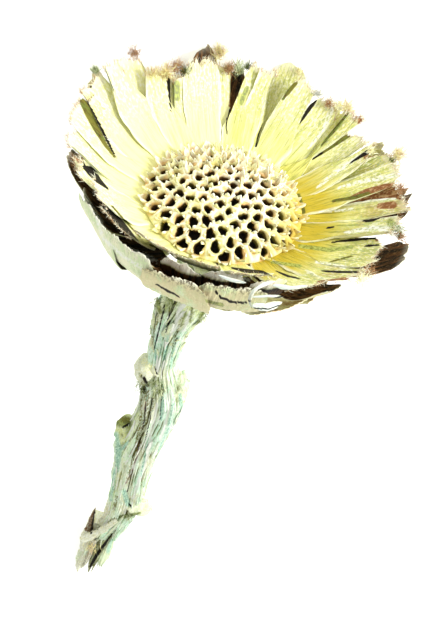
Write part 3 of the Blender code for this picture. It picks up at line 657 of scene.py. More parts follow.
def ribbon(piece, draw, spine, side, normal, half, thick, columns, curl=0.5, veins=7, vein_depth=0.06,
           ragged=0.04, jags=9, rounding=0.06, slant=0.0, edge_wave=0.04, buckle=0.2, edge_lift=0.0,
           slits=None, marks=None, marks_under=None, **notes):
    """Thin closed blade along a spine, with veins, wavy edges and a torn tip."""
    rows = len(spine) - 1
    t = np.linspace(0.0, 1.0, rows + 1)[:, None]
    v = np.linspace(-1.0, 1.0, columns + 1)[None, :]
    tear = ragged * (0.5 + 0.5 * wander(draw, columns + 1, jags) + 0.25 * draw.uniform(-1, 1, columns + 1))
    stop = 1.0 - np.clip(tear, 0.0, None)[None, :] - rounding * np.abs(v) ** 4 + slant * v
    stop = stop + 1.0 - stop.max()
    place = t * stop * rows
    low = np.minimum(place.astype(int), rows - 1)
    part = (place - low)[..., None]

    def along(values):
        return lerp(values[low], values[low + 1], part)

    left = 1.0 + edge_wave * (wander(draw, rows + 1, 6) + 0.6 * wander(draw, rows + 1, 17))[:, None]
    right = 1.0 + edge_wave * (wander(draw, rows + 1, 6) + 0.6 * wander(draw, rows + 1, 17))[:, None]
    width = along(half[:, None])[..., 0] * np.where(v < 0, left, right)
    tt = t * stop
    rise = curl * v * v * (0.4 + 0.6 * tt)
    rise = rise + vein_depth * np.cos(math.pi * veins * v + draw.uniform(0, 6.28)) * smooth(tt * 5)
    rise = rise + buckle * v * wander(draw, rows + 1, 3)[:, None] * smooth(tt * 2)
    rise = rise + buckle * 0.6 * wander(draw, columns + 1, 4)[None, :] * smooth((tt - 0.3) * 1.6)
    rise = rise + edge_lift * smooth((np.abs(v) - 0.75) / 0.25) * smooth((tt - 0.2) * 2)
    middle = along(spine) + along(side) * (width * v)[..., None]
    up = along(normal)
    if slits is not None:
        middle = slits(middle)
    body = along(thick[:, None])[..., 0] * (1.0 - 0.65 * np.abs(v) ** 6)
    body = body * (1.0 - 0.5 * smooth((t - 0.9) * 10))
    top = middle + up * (rise + body / 2)[..., None]
    under = middle + up * (rise - body / 2)[..., None]
    n = (rows + 1) * (columns + 1)
    blank = np.zeros(n)
    for above, table in ((True, marks or ()), (False, marks_under or ())):
        for kind, share in marked(top if above else under, table).items():
            drawn = np.concatenate((share.ravel(), blank) if above else (blank, share.ravel()))
            notes[kind] = np.maximum(drawn, notes.get(kind, 0.0))
    faces = [grid_faces(rows, columns), grid_faces(rows, columns, n, flip=True)]
    across = columns + 1
    rim = list(range(across)) + [i * across + columns for i in range(1, rows + 1)]
    rim += [rows * across + k for k in range(columns - 1, -1, -1)]
    rim += [i * across for i in range(rows - 1, 0, -1)]
    rim = np.array(rim)
    following = np.roll(rim, -1)
    faces.append(np.stack((rim, rim + n, following + n, following), -1))
    length = np.linalg.norm(np.diff(spine, axis=0), axis=1).sum()
    shift = draw.uniform(0, 400)
    depth = np.full_like(width, shift * 0.3)
    grain = np.stack((width * v + shift, tt * length + np.zeros_like(width), depth), -1)
    piece.add(np.concatenate((top.reshape(-1, 3), under.reshape(-1, 3))), np.concatenate(faces),
              along=np.tile((tt + np.zeros_like(width)).ravel(), 2),
              across=np.tile((v + np.zeros_like(width)).ravel(), 2),
              face=np.repeat((1.0, 0.0), n), grain=np.tile(grain.reshape(-1, 3), (2, 1)),
              tone=draw.uniform(0, 1), **notes)
    return middle[-1], unit(middle[-1] - middle[-4])


def curve_between(root, knee, tip, rows):
    """Points and directions of a quadratic curve in the (radius, z) plane."""
    t = np.linspace(0.0, 1.0, rows + 1)[:, None]
    root, knee, tip = (np.array(p, float) for p in (root, knee, tip))
    points = (1 - t) ** 2 * root + 2 * t * (1 - t) * knee + t * t * tip
    return points, unit(2 * (1 - t) * (knee - root) + 2 * t * (tip - knee))


def bract(piece, draw, azimuth, root, knee, tip, widths, thick, rows, columns, twist=0.0, sway=0.0,
          **looks):
    """Bract that runs out from an upright axis: widths at the root, the middle and the tip."""
    a = math.radians(azimuth)
    out, round_, up = np.array(((math.cos(a), math.sin(a), 0), (-math.sin(a), math.cos(a), 0), (0, 0, 1.0)))
    points, slopes = curve_between(root, knee, tip, rows)
    t = np.linspace(0.0, 1.0, rows + 1)
    spine = points[:, :1] * out + points[:, 1:] * up + (sway * t * t)[:, None] * round_
    flat = slopes[:, :1] * up - slopes[:, 1:] * out
    turn = (math.radians(twist) * t * t)[:, None]
    side = round_ * np.cos(turn) + flat * np.sin(turn)
    normal = flat * np.cos(turn) - round_ * np.sin(turn)
    width = lerp(widths[0], widths[1], np.minimum(1.0, t / 0.55))
    width = np.where(t > 0.55, lerp(widths[1], widths[2], ((t - 0.55) / 0.45) ** 2), width)
    thickness = lerp(thick[0], thick[1], t)
    return ribbon(piece, draw, spine, side, normal, width / 2, thickness, columns, **looks)


def hairs(piece, draw, starts, directions, length, radius, droop, spread, steps):
    """Fine tapered hairs, three-sided, one from each start."""
    count = len(starts)
    directions = unit(np.asarray(directions) + draw.normal(0, spread, (count, 3)))
    lengths = length * draw.uniform(0.45, 1.0, count)
    bend = unit(draw.normal(0, 1, (count, 3))) * droop
    s = np.linspace(0.0, 1.0, steps + 1)
    middle = (starts[:, None] + directions[:, None] * (lengths[:, None] * s)[..., None]
              + bend[:, None] * (lengths[:, None] * s * s)[..., None])
    across = unit(np.cross(directions, draw.normal(0, 1, (count, 3))))
    other = np.cross(directions, across)
    thick = radius * draw.uniform(0.7, 1.2, count)[:, None] * (1.0 - 0.8 * s)
    points = []
    for turn in HAIR_CORNERS:
        ring = across * math.cos(turn) + other * math.sin(turn)
        points.append(middle + ring[:, None] * thick[..., None])
    points = np.stack(points, 2).reshape(-1, 3)
    i, k, c = np.meshgrid(np.arange(count), np.arange(steps), np.arange(3), indexing="ij")
    a = (i * (steps + 1) + k) * 3
    b = (c + 1) % 3
    quads = np.stack((a + c, a + b, a + 3 + b, a + 3 + c), -1).reshape(-1, 4)
    tones = np.repeat(draw.uniform(0, 1, count), (steps + 1) * 3)
    ends = np.tile(np.repeat(s, 3), count)
    piece.add(points, quads, tone=tones, along=ends)


# Finishes


CREAM = (0.87, 0.85, 0.40)
IVORY = (0.93, 0.93, 0.72)
LEAF_YELLOW = (0.62, 0.61, 0.11)
LEAF_GREEN = (0.40, 0.47, 0.11)
OCHRE = (0.53, 0.41, 0.03)
TAN = (0.50, 0.31, 0.14)
RUST = (0.24, 0.095, 0.030)
UMBER = (0.070, 0.034, 0.007)
# Near black: black hairs, dark cracks, and painted shade in gaps, pits and hollows
NEAR_BLACK = (0.010, 0.007, 0.003)
SAGE = (0.66, 0.72, 0.44)
MINT = (0.66, 0.93, 0.68)
TEAL = (0.18, 0.42, 0.32)
OLIVE = (0.17, 0.155, 0.02)
CHALK = (0.88, 0.90, 0.80)
MOSS = (0.12, 0.16, 0.025)
GREY_GREEN = (0.36, 0.44, 0.27)
FERN = (0.42, 0.52, 0.22)
BUTTER = (0.98, 0.97, 0.78)
ASH = (0.30, 0.28, 0.24)
PIT_FLANK = (0.76, 0.50, 0.20)
SCALE_FOOT = (0.74, 0.48, 0.18)
HONEY = (0.70, 0.52, 0.09)
SILVER_GREEN = (0.74, 0.82, 0.54)
KHAKI = (0.66, 0.62, 0.36)
LIME = (0.78, 0.84, 0.34)
DEEP_GREEN = (0.30, 0.34, 0.08)
STRAW = (0.80, 0.76, 0.40)
FROST = (0.86, 0.94, 0.80)
CRACK_BROWN = (0.34, 0.34, 0.12)
GREY_MINT = (0.62, 0.69, 0.64)
APPLE = (0.66, 0.78, 0.44)
PARCHMENT = (0.90, 0.88, 0.62)


def bract_skin(name, inside, outside, rim_share=0.6, rim_start=0.90):
    """Dry bract: fibres along it, a pale edge, mottles, and the stains, painted shade and painted light that
    its notes place.
    """
    skin = Finish(name, roughness=0.68)
    grain = skin.note("grain", 1)
    along, across, face, green, warm = skin.notes("along", "across", "face", "green", "warm")
    pale, dark, red, tone, shade = skin.notes("pale", "dark", "red", "tone", "shade")
    fibre = skin.noise(skin.stretched(grain, (3.6, 0.16, 1.0)), 1.0, 4.0, 0.6)
    streak = skin.noise(skin.stretched(grain, (1.1, 0.12, 1.0)), 1.0, 3.0)
    blotch = skin.noise(skin.stretched(grain, (0.34, 0.18, 1.0)), 1.0, 3.0)
    speck = skin.noise(skin.stretched(grain, (2.1, 1.1, 1.0)), 1.0, 3.0, 0.62)
    edge = (across * across).step(0.60, 1.0)
    outer_part = along.step(0.30, 0.85)
    body = skin.mix(inside[0], inside[1], (green * (0.30 + blotch * 1.3) + (streak - 0.5) * 1.1).clamped())
    body = skin.mix(body, LEAF_GREEN, green * streak.step(0.48, 0.64) * 0.8)
    # Ochre towards the root: on the right-hand inner bracts it is partly painted shade of the rim
    body = skin.mix(body, OCHRE, (warm * (1.0 - along.step(0.14, 0.66)) * (0.55 + 1.1 * streak)).clamped())
    bleached = (speck.step(0.49, 0.60) * outer_part * (0.95 - green * 0.4) + edge * 0.7).clamped()
    body = skin.mix(body, IVORY, bleached)
    body = skin.mix(body, MOSS, green * fibre.step(0.54, 0.64) * 0.75)
    body = skin.mix(body, GREY_GREEN, speck.step(0.45, 0.37) * outer_part * (0.16 + green * 0.75))
    body = skin.mix(body, skin.mix(RUST, TAN, speck), red * outer_part * blotch.step(0.42, 0.60) * 0.85)
    # Dark inside: the bracts' own brown and rust, deepened towards black as painted shade of the cup's
    # hollows
    deep = skin.mix(UMBER, NEAR_BLACK, streak.step(0.62, 0.40))
    deep = skin.mix(deep, RUST, (red * streak.step(0.38, 0.62)).clamped())
    deep = skin.mix(deep, TAN, (red * speck.step(0.52, 0.66)).clamped() * 0.5)
    deep = skin.mix(deep, LEAF_YELLOW, (pale * 1.2 + (streak - 0.5) * pale).clamped())
    deep = skin.mix(deep, LEAF_GREEN, pale * streak.step(0.52, 0.70) * 0.5)
    body = skin.mix(body, deep, dark)
    rind = skin.mix(outside[0], outside[1], (blotch.step(0.36, 0.62) * 0.8 + (streak - 0.5) * 0.9).clamped())
    rind = skin.mix(rind, FERN, fibre.step(0.54, 0.66) * speck.step(0.44, 0.56) * 0.75)
    rind = skin.mix(rind, IVORY, speck.step(0.54, 0.64) * 0.8)
    rind = skin.mix(rind, skin.mix(TAN, CREAM, speck), (red * blotch.step(0.30, 0.50)).clamped() * 0.6)
    # Painted shade: the steep near bracts turn near black on the outside below their rim
    shaded_rind = skin.mix(NEAR_BLACK, UMBER, streak.step(0.44, 0.56))
    rind = skin.mix(rind, shaded_rind, shade * (1.0 - along.step(0.82, 0.87)))
    colour = skin.mix(rind, body, face)
    colour = skin.mix(colour, IVORY, along.step(rim_start, 1.0) * rim_share * (1.0 - dark * 0.4 * face))
    browned = (red * 1.3 * blotch.step(0.40, 0.56) + speck.step(0.60, 0.68)).clamped() * 0.7
    # Painted light: the pale rim of the steep near bracts, brightened to near white and browned in places
    lip = skin.mix(BUTTER, TAN, browned)
    colour = skin.mix(colour, lip, shade * along.step(0.85, 0.89) * (1.0 - face * 0.6))
    tip = along.step(0.86, 1.0) * speck.step(0.46, 0.58) * (1.0 - shade)
    colour = skin.mix(colour, skin.mix(TAN, UMBER, dark), tip * (0.25 + red * 0.6))
    colour = skin.mix(colour, UMBER, fibre.step(0.62, 0.78) * (0.10 + 0.35 * tone) * (0.25 + green))
    colour = skin.mix(colour, CHALK, (skin.note("white") * speck.step(0.38, 0.54)).clamped() * 0.85)
    mossy = skin.mix(LEAF_GREEN, MOSS, speck.step(0.4, 0.6))
    colour = skin.mix(colour, mossy, skin.note("green_mark").step(0.1, 0.8) * 0.8)
    colour = skin.mix(colour, skin.mix(RUST, TAN, speck.step(0.48, 0.62)), skin.note("rust").step(0.1, 0.7))
    # Olive marks: mostly painted shade in the folds and hollows between the bracts
    overlay = skin.mix(OLIVE, skin.mix(MOSS, UMBER, speck.step(0.45, 0.60)), streak.step(0.40, 0.60))
    colour = skin.mix(colour, overlay, (skin.note("olive") + (fibre - 0.5) * 0.6).step(0.10, 0.75))
    # Black where the marks paint shade into slits, pockets and gaps
    skin.colour(skin.mix(colour, NEAR_BLACK, skin.note("soot").step(0.15, 0.60)))
    skin.bump(fibre, 0.6, 0.0006)
    return skin


def tuft_skins():
    colours = {"rust": (TAN, RUST), "tan": (CREAM, TAN), "black": (MOSS, NEAR_BLACK), "green": (SAGE, MOSS),
               "grey": (CHALK, ASH), "white": (IVORY, CREAM)}
    return {colour: hair_skin(f"{colour}_hair", *pair) for colour, pair in colours.items()}


def hair_skin(name, pale, dark):
    skin = Finish(name, roughness=0.6)
    tone = skin.note("tone")
    skin.colour(skin.mix(pale, dark, tone.step(0.15, 0.9)))
    return skin


def disc_skin():
    """Receptacle: dark pits, tan flanks and pale walls, with painted shade at the pits' floors and, in part,
    in the ochre at the right edge.
    """
    skin = Finish("pitted_receptacle", roughness=0.75)
    grain = skin.note("grain", 1)
    pit, wall, disc_ochre_shade = skin.notes("pit", "wall", "warm")
    fine = skin.noise(grain, 1.3, 4.0)
    broad = skin.noise(grain, 0.22, 2.0)
    colour = skin.mix(PIT_FLANK, IVORY, (wall * 1.1 + (fine - 0.5) * 0.9 - 0.08).clamped())
    colour = skin.mix(colour, CREAM, broad.step(0.42, 0.60) * 0.7)
    # Ochre at the disc's right edge: partly painted shade of the right-hand bracts
    colour = skin.mix(colour, OCHRE, (disc_ochre_shade * (0.45 + broad)).clamped() * 0.9)
    # Pits: brown down their sides and black at their floors, partly painted shade over their dark tissue
    colour = skin.mix(colour, skin.mix(UMBER, OLIVE, broad.step(0.50, 0.66) * 0.8), pit.step(0.08, 0.35))
    colour = skin.mix(colour, NEAR_BLACK, pit.step(0.30, 0.75))
    skin.colour(colour)
    skin.bump(fine, 0.5, 0.0005)
    return skin


def scale_skin():
    """Pointed scales of the receptacle: tan at the foot, nearly white at the point."""
    skin = Finish("receptacle_scale", roughness=0.65)
    grain = skin.note("grain", 1)
    along, warm, tone = skin.notes("along", "warm", "tone")
    fibre = skin.noise(skin.stretched(grain, (3.0, 0.5, 1.0)), 1.0, 3.0)
    colour = skin.mix(SCALE_FOOT, IVORY, (along * 1.5 + (fibre - 0.5) - 0.05).clamped())
    # Honey at the foot of the scales towards the disc's right edge: partly painted shade
    colour = skin.mix(colour, HONEY, (warm * (1.35 - along)).clamped() * 0.9)
    colour = skin.mix(colour, LEAF_YELLOW, tone.step(0.45, 1.0) * 0.55)
    colour = skin.mix(colour, OLIVE, fibre.step(0.58, 0.70) * 0.7)
    skin.colour(colour)
    skin.bump(fibre, 0.5, 0.0004)
    return skin


def stem_skin():
    """Stem bark: mint with pale ridges, olive patches and dark cracks, with painted shade on its left side
    and in the gaps at the cut.
    """
    skin = Finish("ribbed_bark", roughness=0.78)
    grain = skin.note("grain", 1)
    crack, ridge, green, wood = skin.notes("crack", "ridge", "green", "wood")
    line = skin.noise(skin.stretched(grain, (2.8, 2.8, 0.26)), 1.0, 4.0, 0.6)
    dash = skin.noise(skin.stretched(grain, (5.0, 5.0, 1.0)), 1.0, 3.0, 0.65)
    patch = skin.noise(skin.stretched(grain, (0.34, 0.34, 0.09)), 1.0, 3.0)
    speck = skin.noise(grain, 1.9, 3.0)
    colour = skin.mix(MINT, SILVER_GREEN, patch.step(0.42, 0.60))
    colour = skin.mix(colour, KHAKI, patch.step(0.54, 0.66) * 0.6)
    colour = skin.mix(colour, LIME, (green * (0.55 + speck * 1.1)).clamped())
    colour = skin.mix(colour, DEEP_GREEN, green * line.step(0.45, 0.35) * 0.6)
    worn = (ridge * line.step(0.46, 0.56) * 0.85 + speck.step(0.60, 0.68) * 0.6).clamped()
    colour = skin.mix(colour, CHALK, worn)
    colour = skin.mix(colour, TEAL, line.step(0.42, 0.33) * (1.0 - ridge * 0.7) * 0.4)
    bare = skin.mix(IVORY, STRAW, speck.step(0.46, 0.62) * 0.8)
    bare = skin.mix(bare, UMBER, speck.step(0.66, 0.74) * 0.7)
    colour = skin.mix(colour, skin.mix(bare, LEAF_GREEN, green * 0.5), wood)
    colour = skin.mix(colour, FROST, dash.step(0.53, 0.59) * 0.8)
    colour = skin.mix(colour, skin.mix(MOSS, TEAL, patch.step(0.45, 0.55)), dash.step(0.43, 0.36) * 0.55)
    colour = skin.mix(colour, CRACK_BROWN, (crack * 1.1).clamped())
    colour = skin.mix(colour, NEAR_BLACK, crack.step(0.60, 1.0) * 0.75)
    colour = skin.mix(colour, CHALK, (skin.note("white") * (0.4 + line)).clamped())
    colour = skin.mix(colour, skin.mix(TEAL, MINT, dash.step(0.44, 0.58)), skin.note("teal") * 0.85)
    mossy = skin.mix(LEAF_GREEN, MOSS, speck.step(0.36, 0.54))
    colour = skin.mix(colour, mossy, skin.note("green_mark") * 0.9)
    rusty = (skin.note("rust") * (0.4 + line.step(0.40, 0.55))).clamped()
    colour = skin.mix(colour, skin.mix(RUST, UMBER, dash.step(0.4, 0.6)), rusty)
    # Olive marks: olive bark, and painted shade in the gap at the cut end
    overlay = skin.mix(OLIVE, MOSS, dash.step(0.5, 0.6))
    colour = skin.mix(colour, overlay, (skin.note("olive") * (0.15 + dash.step(0.56, 0.44))).clamped())
    # Black where the marks paint dark cracks, and painted shade in the gaps at the cut end
    skin.colour(skin.mix(colour, NEAR_BLACK, skin.note("soot").step(0.25, 0.8)))
    skin.bump(dash, 0.8, 0.0006)
    return skin


# Pieces


def ochre_shade_share(points):
    """How much ochre a point has, partly painted shade of the right-hand bracts: strongest at the disc's
    right edge.
    """
    x, y = points[..., 0], points[..., 1]
    azimuth = np.degrees(np.arctan2(y, x))
    return smooth((x - 8.0) / 12.0) * smooth(1.3 - np.abs(azimuth + 4.0) / 58.0)


def receptacle(skin):
    """Dome with a spiral of sunken pits between raised walls."""
    draw = np.random.default_rng(SEED)
    piece = Piece("receptacle_face")
    r = np.linspace(0.02, 1.0, DISC_RINGS + 1) * DISC_RADIUS
    a = np.linspace(0.0, 2 * math.pi, DISC_SECTORS + 1)
    rr, aa = np.meshgrid(r, a, indexing="ij")
    x, y = rr * np.cos(aa), rr * np.sin(aa)
    z = DISC_RISE - DOME_RADIUS + np.sqrt(DOME_RADIUS ** 2 - rr ** 2)
    out = unit(np.stack((x, y, z - DISC_RISE + DOME_RADIUS), -1))
    pits = pit_places(draw)
    apart = np.hypot(x[..., None] - pits[:, 0], y[..., None] - pits[:, 1])
    order = np.sort(apart, axis=-1)
    nearest = np.argmin(apart, axis=-1)
    bearing = np.arctan2(y - pits[nearest, 1], x - pits[nearest, 0])
    phase = draw.uniform(0, 6.28, (PIT_COUNT, 2))[nearest]
    size = draw.uniform(0.78, 1.1, PIT_COUNT)[nearest] * (1.0 - 0.34 * ochre_shade_share(np.stack((x, y), -1)))
    reach = PIT_RADIUS * size * (1 + 0.20 * np.cos(2 * bearing + phase[..., 0])
                                 + 0.15 * np.cos(3 * bearing + phase[..., 1]))
    hole = smooth((reach + 0.25 - order[..., 0]) / 0.55)
    wall = smooth(1.0 - (order[..., 1] - order[..., 0]) / 1.3)
    edge = smooth((DISC_RADIUS - rr) / 0.5)
    rise = WALL_RISE * wall * edge - PIT_DEPTH * hole * edge
    points = np.stack((x, y, z), -1) + out * rise[..., None]
    skirt = []
    skirt_shares = (0.25, 0.5, 0.75, 1.0)
    for share in skirt_shares:
        edge_r, edge_z = lerp(DISC_RADIUS, DISC_BASE_RADIUS, share), lerp(0.0, DISC_BASE_Z, share)
        skirt.append(np.stack((edge_r * np.cos(a), edge_r * np.sin(a), np.full_like(a, edge_z)), -1))
    everything = np.concatenate((points, np.array(skirt)))
    blank = np.zeros((len(skirt), DISC_SECTORS + 1))
    piece.add(everything.reshape(-1, 3), grid_faces(DISC_RINGS + len(skirt), DISC_SECTORS, flip=True),
              pit=np.concatenate((hole * edge, blank)).ravel(),
              wall=np.concatenate((wall, blank)).ravel(),
              warm=ochre_shade_share(everything).ravel(), grain=everything.reshape(-1, 3))
    piece.build(skin, "receptacle_cream", "receptacle", sharp_deg=80.0)


def pit_places(draw):
    """Middles of the pits, on a spiral from the centre out."""
    i = np.arange(PIT_COUNT)
    r = PIT_FIELD_RADIUS * np.sqrt((i + 0.5) / PIT_COUNT)
    a = np.radians(SPIRAL_DEG * i)
    return np.stack((r * np.cos(a), r * np.sin(a)), -1) + draw.uniform(-0.14, 0.14, (PIT_COUNT, 2))


def scales(skin):
    """Pointed scales round each pit: a tall one on its outer side and lower ones beside it."""
    pits = pit_places(np.random.default_rng(SEED))
    draw = np.random.default_rng(SEED + 10)
    piece = Piece("receptacle_scales")
    for x, y in pits:
        r = math.hypot(x, y)
        away = math.atan2(y, x)
        far = smooth(0.5 + 0.5 * math.sin(away)) * smooth(r / 8.0)
        rim = smooth((r - 12.0) / 5.0)
        for bearing, tall, wide, set_back in SCALES_ROUND_A_PIT:
            turn = away + math.radians(bearing + draw.uniform(-14, 14))
            foot = np.array((x + set_back * math.cos(turn), y + set_back * math.sin(turn)))
            reach = min(np.hypot(*foot), DISC_RADIUS - 0.2)
            foot = foot / max(np.hypot(*foot), 1e-6) * reach
            z = DISC_RISE - DOME_RADIUS + math.sqrt(DOME_RADIUS ** 2 - reach ** 2)
            base = np.array((foot[0], foot[1], z))
            normal = unit(base - np.array((0, 0, DISC_RISE - DOME_RADIUS)))
            outward = unit(np.array((math.cos(away), math.sin(away), 0.0)) + 1e-6)
            facing = unit(np.array((math.cos(turn), math.sin(turn), 0.0)))
            length = tall * lerp(1.7, 2.9, max(far * 0.8, rim * 0.75)) * draw.uniform(0.75, 1.25)
            lean = unit(normal + outward * lerp(0.1, 0.75, rim) + draw.normal(0, 0.12, 3))
            t = np.linspace(0.0, 1.0, SCALE_ROWS + 1)[:, None]
            hook = -facing * (0.35 * length)
            spine = base - normal * 0.5 + lean * (length + 0.5) * t + hook * t * t * 0.5
            side = np.tile(unit(np.cross(normal, facing)), (SCALE_ROWS + 1, 1))
            face = unit(np.cross(side, np.gradient(spine, axis=0)))
            half = wide * 0.5 * (1.0 - t[:, 0]) ** 0.75 + 0.03
            ribbon(piece, draw, spine, side, face, half, np.full(SCALE_ROWS + 1, 0.34), 4, curl=-0.18,
                   veins=1, vein_depth=0.0, ragged=0.0, rounding=0.0, edge_wave=0.12, buckle=0.05,
                   warm=float(ochre_shade_share(base)))
    piece.build(skin, "receptacle_cream")


def slit_opener(azimuth, drop):
    """Function that moves a bract's points out of the slits beside it, as the slanted view shows them.

    A bract that lies lower than its neighbours by the drop is set back or let in to match.
    """
    near = [slit for slit in SLITS if abs((slit[-1][0] - azimuth + 180.0) % 360.0 - 180.0) < 16.0]

    def opened(points):
        for slit in near:
            bearings, radii, halves = zip(*slit)
            r = np.hypot(points[..., 0], points[..., 1])
            line = np.radians(np.interp(r, radii, bearings))
            wanted = np.interp(r, (radii[0] - 9.0, *radii), (-4.0, *halves))
            middle = math.radians(np.interp(0.5 * (radii[0] + radii[-1]), radii, bearings))
            away = math.copysign(1.0, math.sin(math.radians(azimuth) - middle))
            wanted = wanted + away * drop * math.tan(math.radians(VIEW_SLANT_DEG)) * math.cos(middle)
            wanted = np.where(r < radii[0] - 9.0, -20.0, wanted)
            turn = np.arctan2(points[..., 1], points[..., 0]) - line
            apart = away * np.arctan2(np.sin(turn), np.cos(turn)) * r
            moved = line + away * np.maximum(apart, wanted) / np.maximum(r, 1.0)
            points = np.stack((r * np.cos(moved), r * np.sin(moved), points[..., 2]), -1)
        return points

    return opened


def inner_whorl(skin, fringe_skin):
    """Innermost bracts in two layers and a lowest one, with a fringe of hairs at their torn tips."""
    draw = np.random.default_rng(SEED + 1)
    fringe_draw = np.random.default_rng(SEED + 20)
    piece = Piece("inner_whorl")
    fringe = Piece("inner_fringe")
    for i, (azimuth, reach, lift, width, green) in enumerate(INNER_BRACTS):
        layer = INNER_LAYER * (1 if i % 2 else -1)
        layer = INNER_LOWEST_LAYER if azimuth in INNER_LOWEST else layer
        overlay = INNER_LOWEST.get(azimuth)
        knee = (lerp(INNER_ROOT[0], reach, INNER_KNEE), INNER_KNEE_Z + layer)
        # Ochre at the roots towards the disc's right edge: partly painted shade of the right-hand bracts
        root_ochre_shade = float(smooth((math.cos(math.radians(azimuth + 8)) - 0.35) / 0.5))
        slits = slit_opener(azimuth, INNER_LAYER - layer) if layer > INNER_LOWEST_LAYER else None
        torn_edge, onward = bract(
            piece, draw, azimuth, INNER_ROOT, knee, (reach, lift + layer),
            (INNER_ROOT_WIDTH, width * INNER_BELLY, width), (0.7, 0.3), rows=40, columns=34, slits=slits,
            twist=draw.uniform(-4, 4), sway=draw.uniform(-0.4, 0.4), curl=draw.uniform(0.1, 0.6),
            veins=draw.integers(6, 9), vein_depth=lerp(0.02, 0.08, green),
            ragged=draw.uniform(0.04, 0.09), jags=int(draw.integers(4, 9)),
            rounding=draw.uniform(0.02, 0.09), marks=MARKS, slant=draw.uniform(-0.05, 0.05),
            edge_wave=0.05, buckle=draw.uniform(0.2, 0.5), edge_lift=draw.uniform(0.0, 0.35), green=green,
            warm=root_ochre_shade, pale=0.0, dark=0.0, red=max(0.0, green - 0.4) * draw.uniform(0.0, 1.6),
            **({overlay: 1.0} if overlay else {}))
        starts = np.repeat(torn_edge, FRINGE_HAIRS, axis=0)
        starts = starts + fringe_draw.normal(0.0, 0.12, starts.shape)
        hairs(fringe, fringe_draw, starts, np.repeat(onward, FRINGE_HAIRS, axis=0), FRINGE_LENGTH,
              HAIR_RADIUS, 0.45, 0.30, steps=3)
    fringe.build(fringe_skin, "cream_bract")
    piece.build(skin, "cream_bract", "inner_bracts")


def middle_whorl(skin):
    """Bracts behind the innermost ones, dark inside but for the pale ones, steep on the near side, where
    painted shade darkens their outsides below a brightened rim.
    """
    draw = np.random.default_rng(SEED + 2)
    piece = Piece("middle_whorl")
    for azimuth, reach, lift, red, pale, tip_width, torn in MIDDLE_BRACTS:
        longer = (reach - MIDDLE_REACH[0]) / (MIDDLE_REACH[1] - MIDDLE_REACH[0])
        steep = float(smooth((azimuth - 216.0) / 20.0) * smooth((318.0 - azimuth) / 18.0))
        share = lerp(MIDDLE_KNEE, MIDDLE_STEEP_KNEE, steep)
        knee = (lerp(MIDDLE_ROOT[0], reach, share), lerp(*MIDDLE_KNEE_Z, longer))
        # Dark insides are partly painted shade of the hollow between the whorls
        dark = 1.0 - 0.9 * float(smooth(pale))
        bract(piece, draw, azimuth, MIDDLE_ROOT, knee, (reach, lift), (*MIDDLE_WIDTHS, tip_width),
              (0.8, 0.3), rows=44, columns=24, twist=draw.uniform(-3, 3), curl=draw.uniform(0.4, 0.7),
              veins=8, vein_depth=0.07, ragged=torn, jags=7, rounding=0.12,
              slant=draw.uniform(-0.04, 0.04), buckle=lerp(0.3, 0.7, steep), green=0.4, warm=0.0,
              dark=dark, red=red, pale=pale, shade=steep, marks=CUP_MARKS)
    piece.build(skin, "brown_bract", "middle_bracts")


def outer_whorl(skin):
    """Short broad bracts in two layers: flat ones under the head and a cupped wall on the near side."""
    draw = np.random.default_rng(SEED + 3)
    piece = Piece("outer_whorl")
    for i, (azimuth, reach, lift) in enumerate(OUTER_BRACTS):
        cup = float(smooth((lift - OUTER_FLAT_LIFT) / (OUTER_CUP_LIFT - OUTER_FLAT_LIFT)))
        share, knee_z = (lerp(a, b, cup) for a, b in zip(OUTER_FLAT_KNEE, OUTER_CUP_KNEE))
        layer = OUTER_LAYER * (1 if i % 2 else -1)
        knee = (lerp(OUTER_ROOT[0], reach, share), knee_z + layer)
        # The cupped wall's bracts are dark inside: painted shade of the cup's hollow, over their brown
        bract(piece, draw, azimuth, OUTER_ROOT, knee, (reach - layer, lift + layer), OUTER_WIDTHS,
              (0.9, 0.4), rows=34, columns=40, twist=draw.uniform(-2, 2),
              curl=draw.uniform(0.7, 1.0) * (1.0 - 0.8 * cup), veins=11, vein_depth=0.08, ragged=0.05,
              jags=8, rounding=0.04, edge_wave=0.06, buckle=0.5, green=0.1, warm=0.0, pale=0.0, dark=cup,
              red=float(smooth((azimuth - 236.0) / 24.0)), marks=CUP_MARKS, marks_under=WALL_MARKS)
    piece.build(skin, "green_bract", "outer_bracts")


def loose_curls(skin):
    """Narrow peeled strips and torn leaves that stand a little off the near rim of the head."""
    draw = np.random.default_rng(SEED + 22)
    piece = Piece("loose_curls")
    steps = 25
    for half, *course in LOOSE_CURLS:
        knots = np.array([seen_at(*place) for place in course])
        t = np.linspace(0.0, len(knots) - 1.0, steps)
        spine = np.stack([np.interp(t, np.arange(len(knots)), knots[:, axis]) for axis in range(3)], -1)
        spine = np.stack([rolling(spine[:, axis], 5) for axis in range(3)], -1)
        forward = unit(np.gradient(spine, axis=0))
        to_viewer = np.tile(np.array(photo_axes()[2]), (steps, 1))
        side = unit(np.cross(forward, to_viewer))
        share = np.linspace(0.0, 1.0, steps)
        width = half * (1.0 - 0.75 * (2 * share - 1) ** 4) * (1.0 + 0.2 * wander(draw, steps, 5))
        ribbon(piece, draw, spine, side, unit(np.cross(side, forward)), width, np.full(steps, 0.25), 8,
               curl=-0.2, veins=2, vein_depth=0.04, ragged=0.06, rounding=0.1, edge_wave=0.15, buckle=0.2,
               marks=CURL_MARKS, green=0.15, warm=0.0, pale=0.0, dark=0.0, red=draw.uniform(0.0, 0.3))
    piece.build(skin, "green_bract")


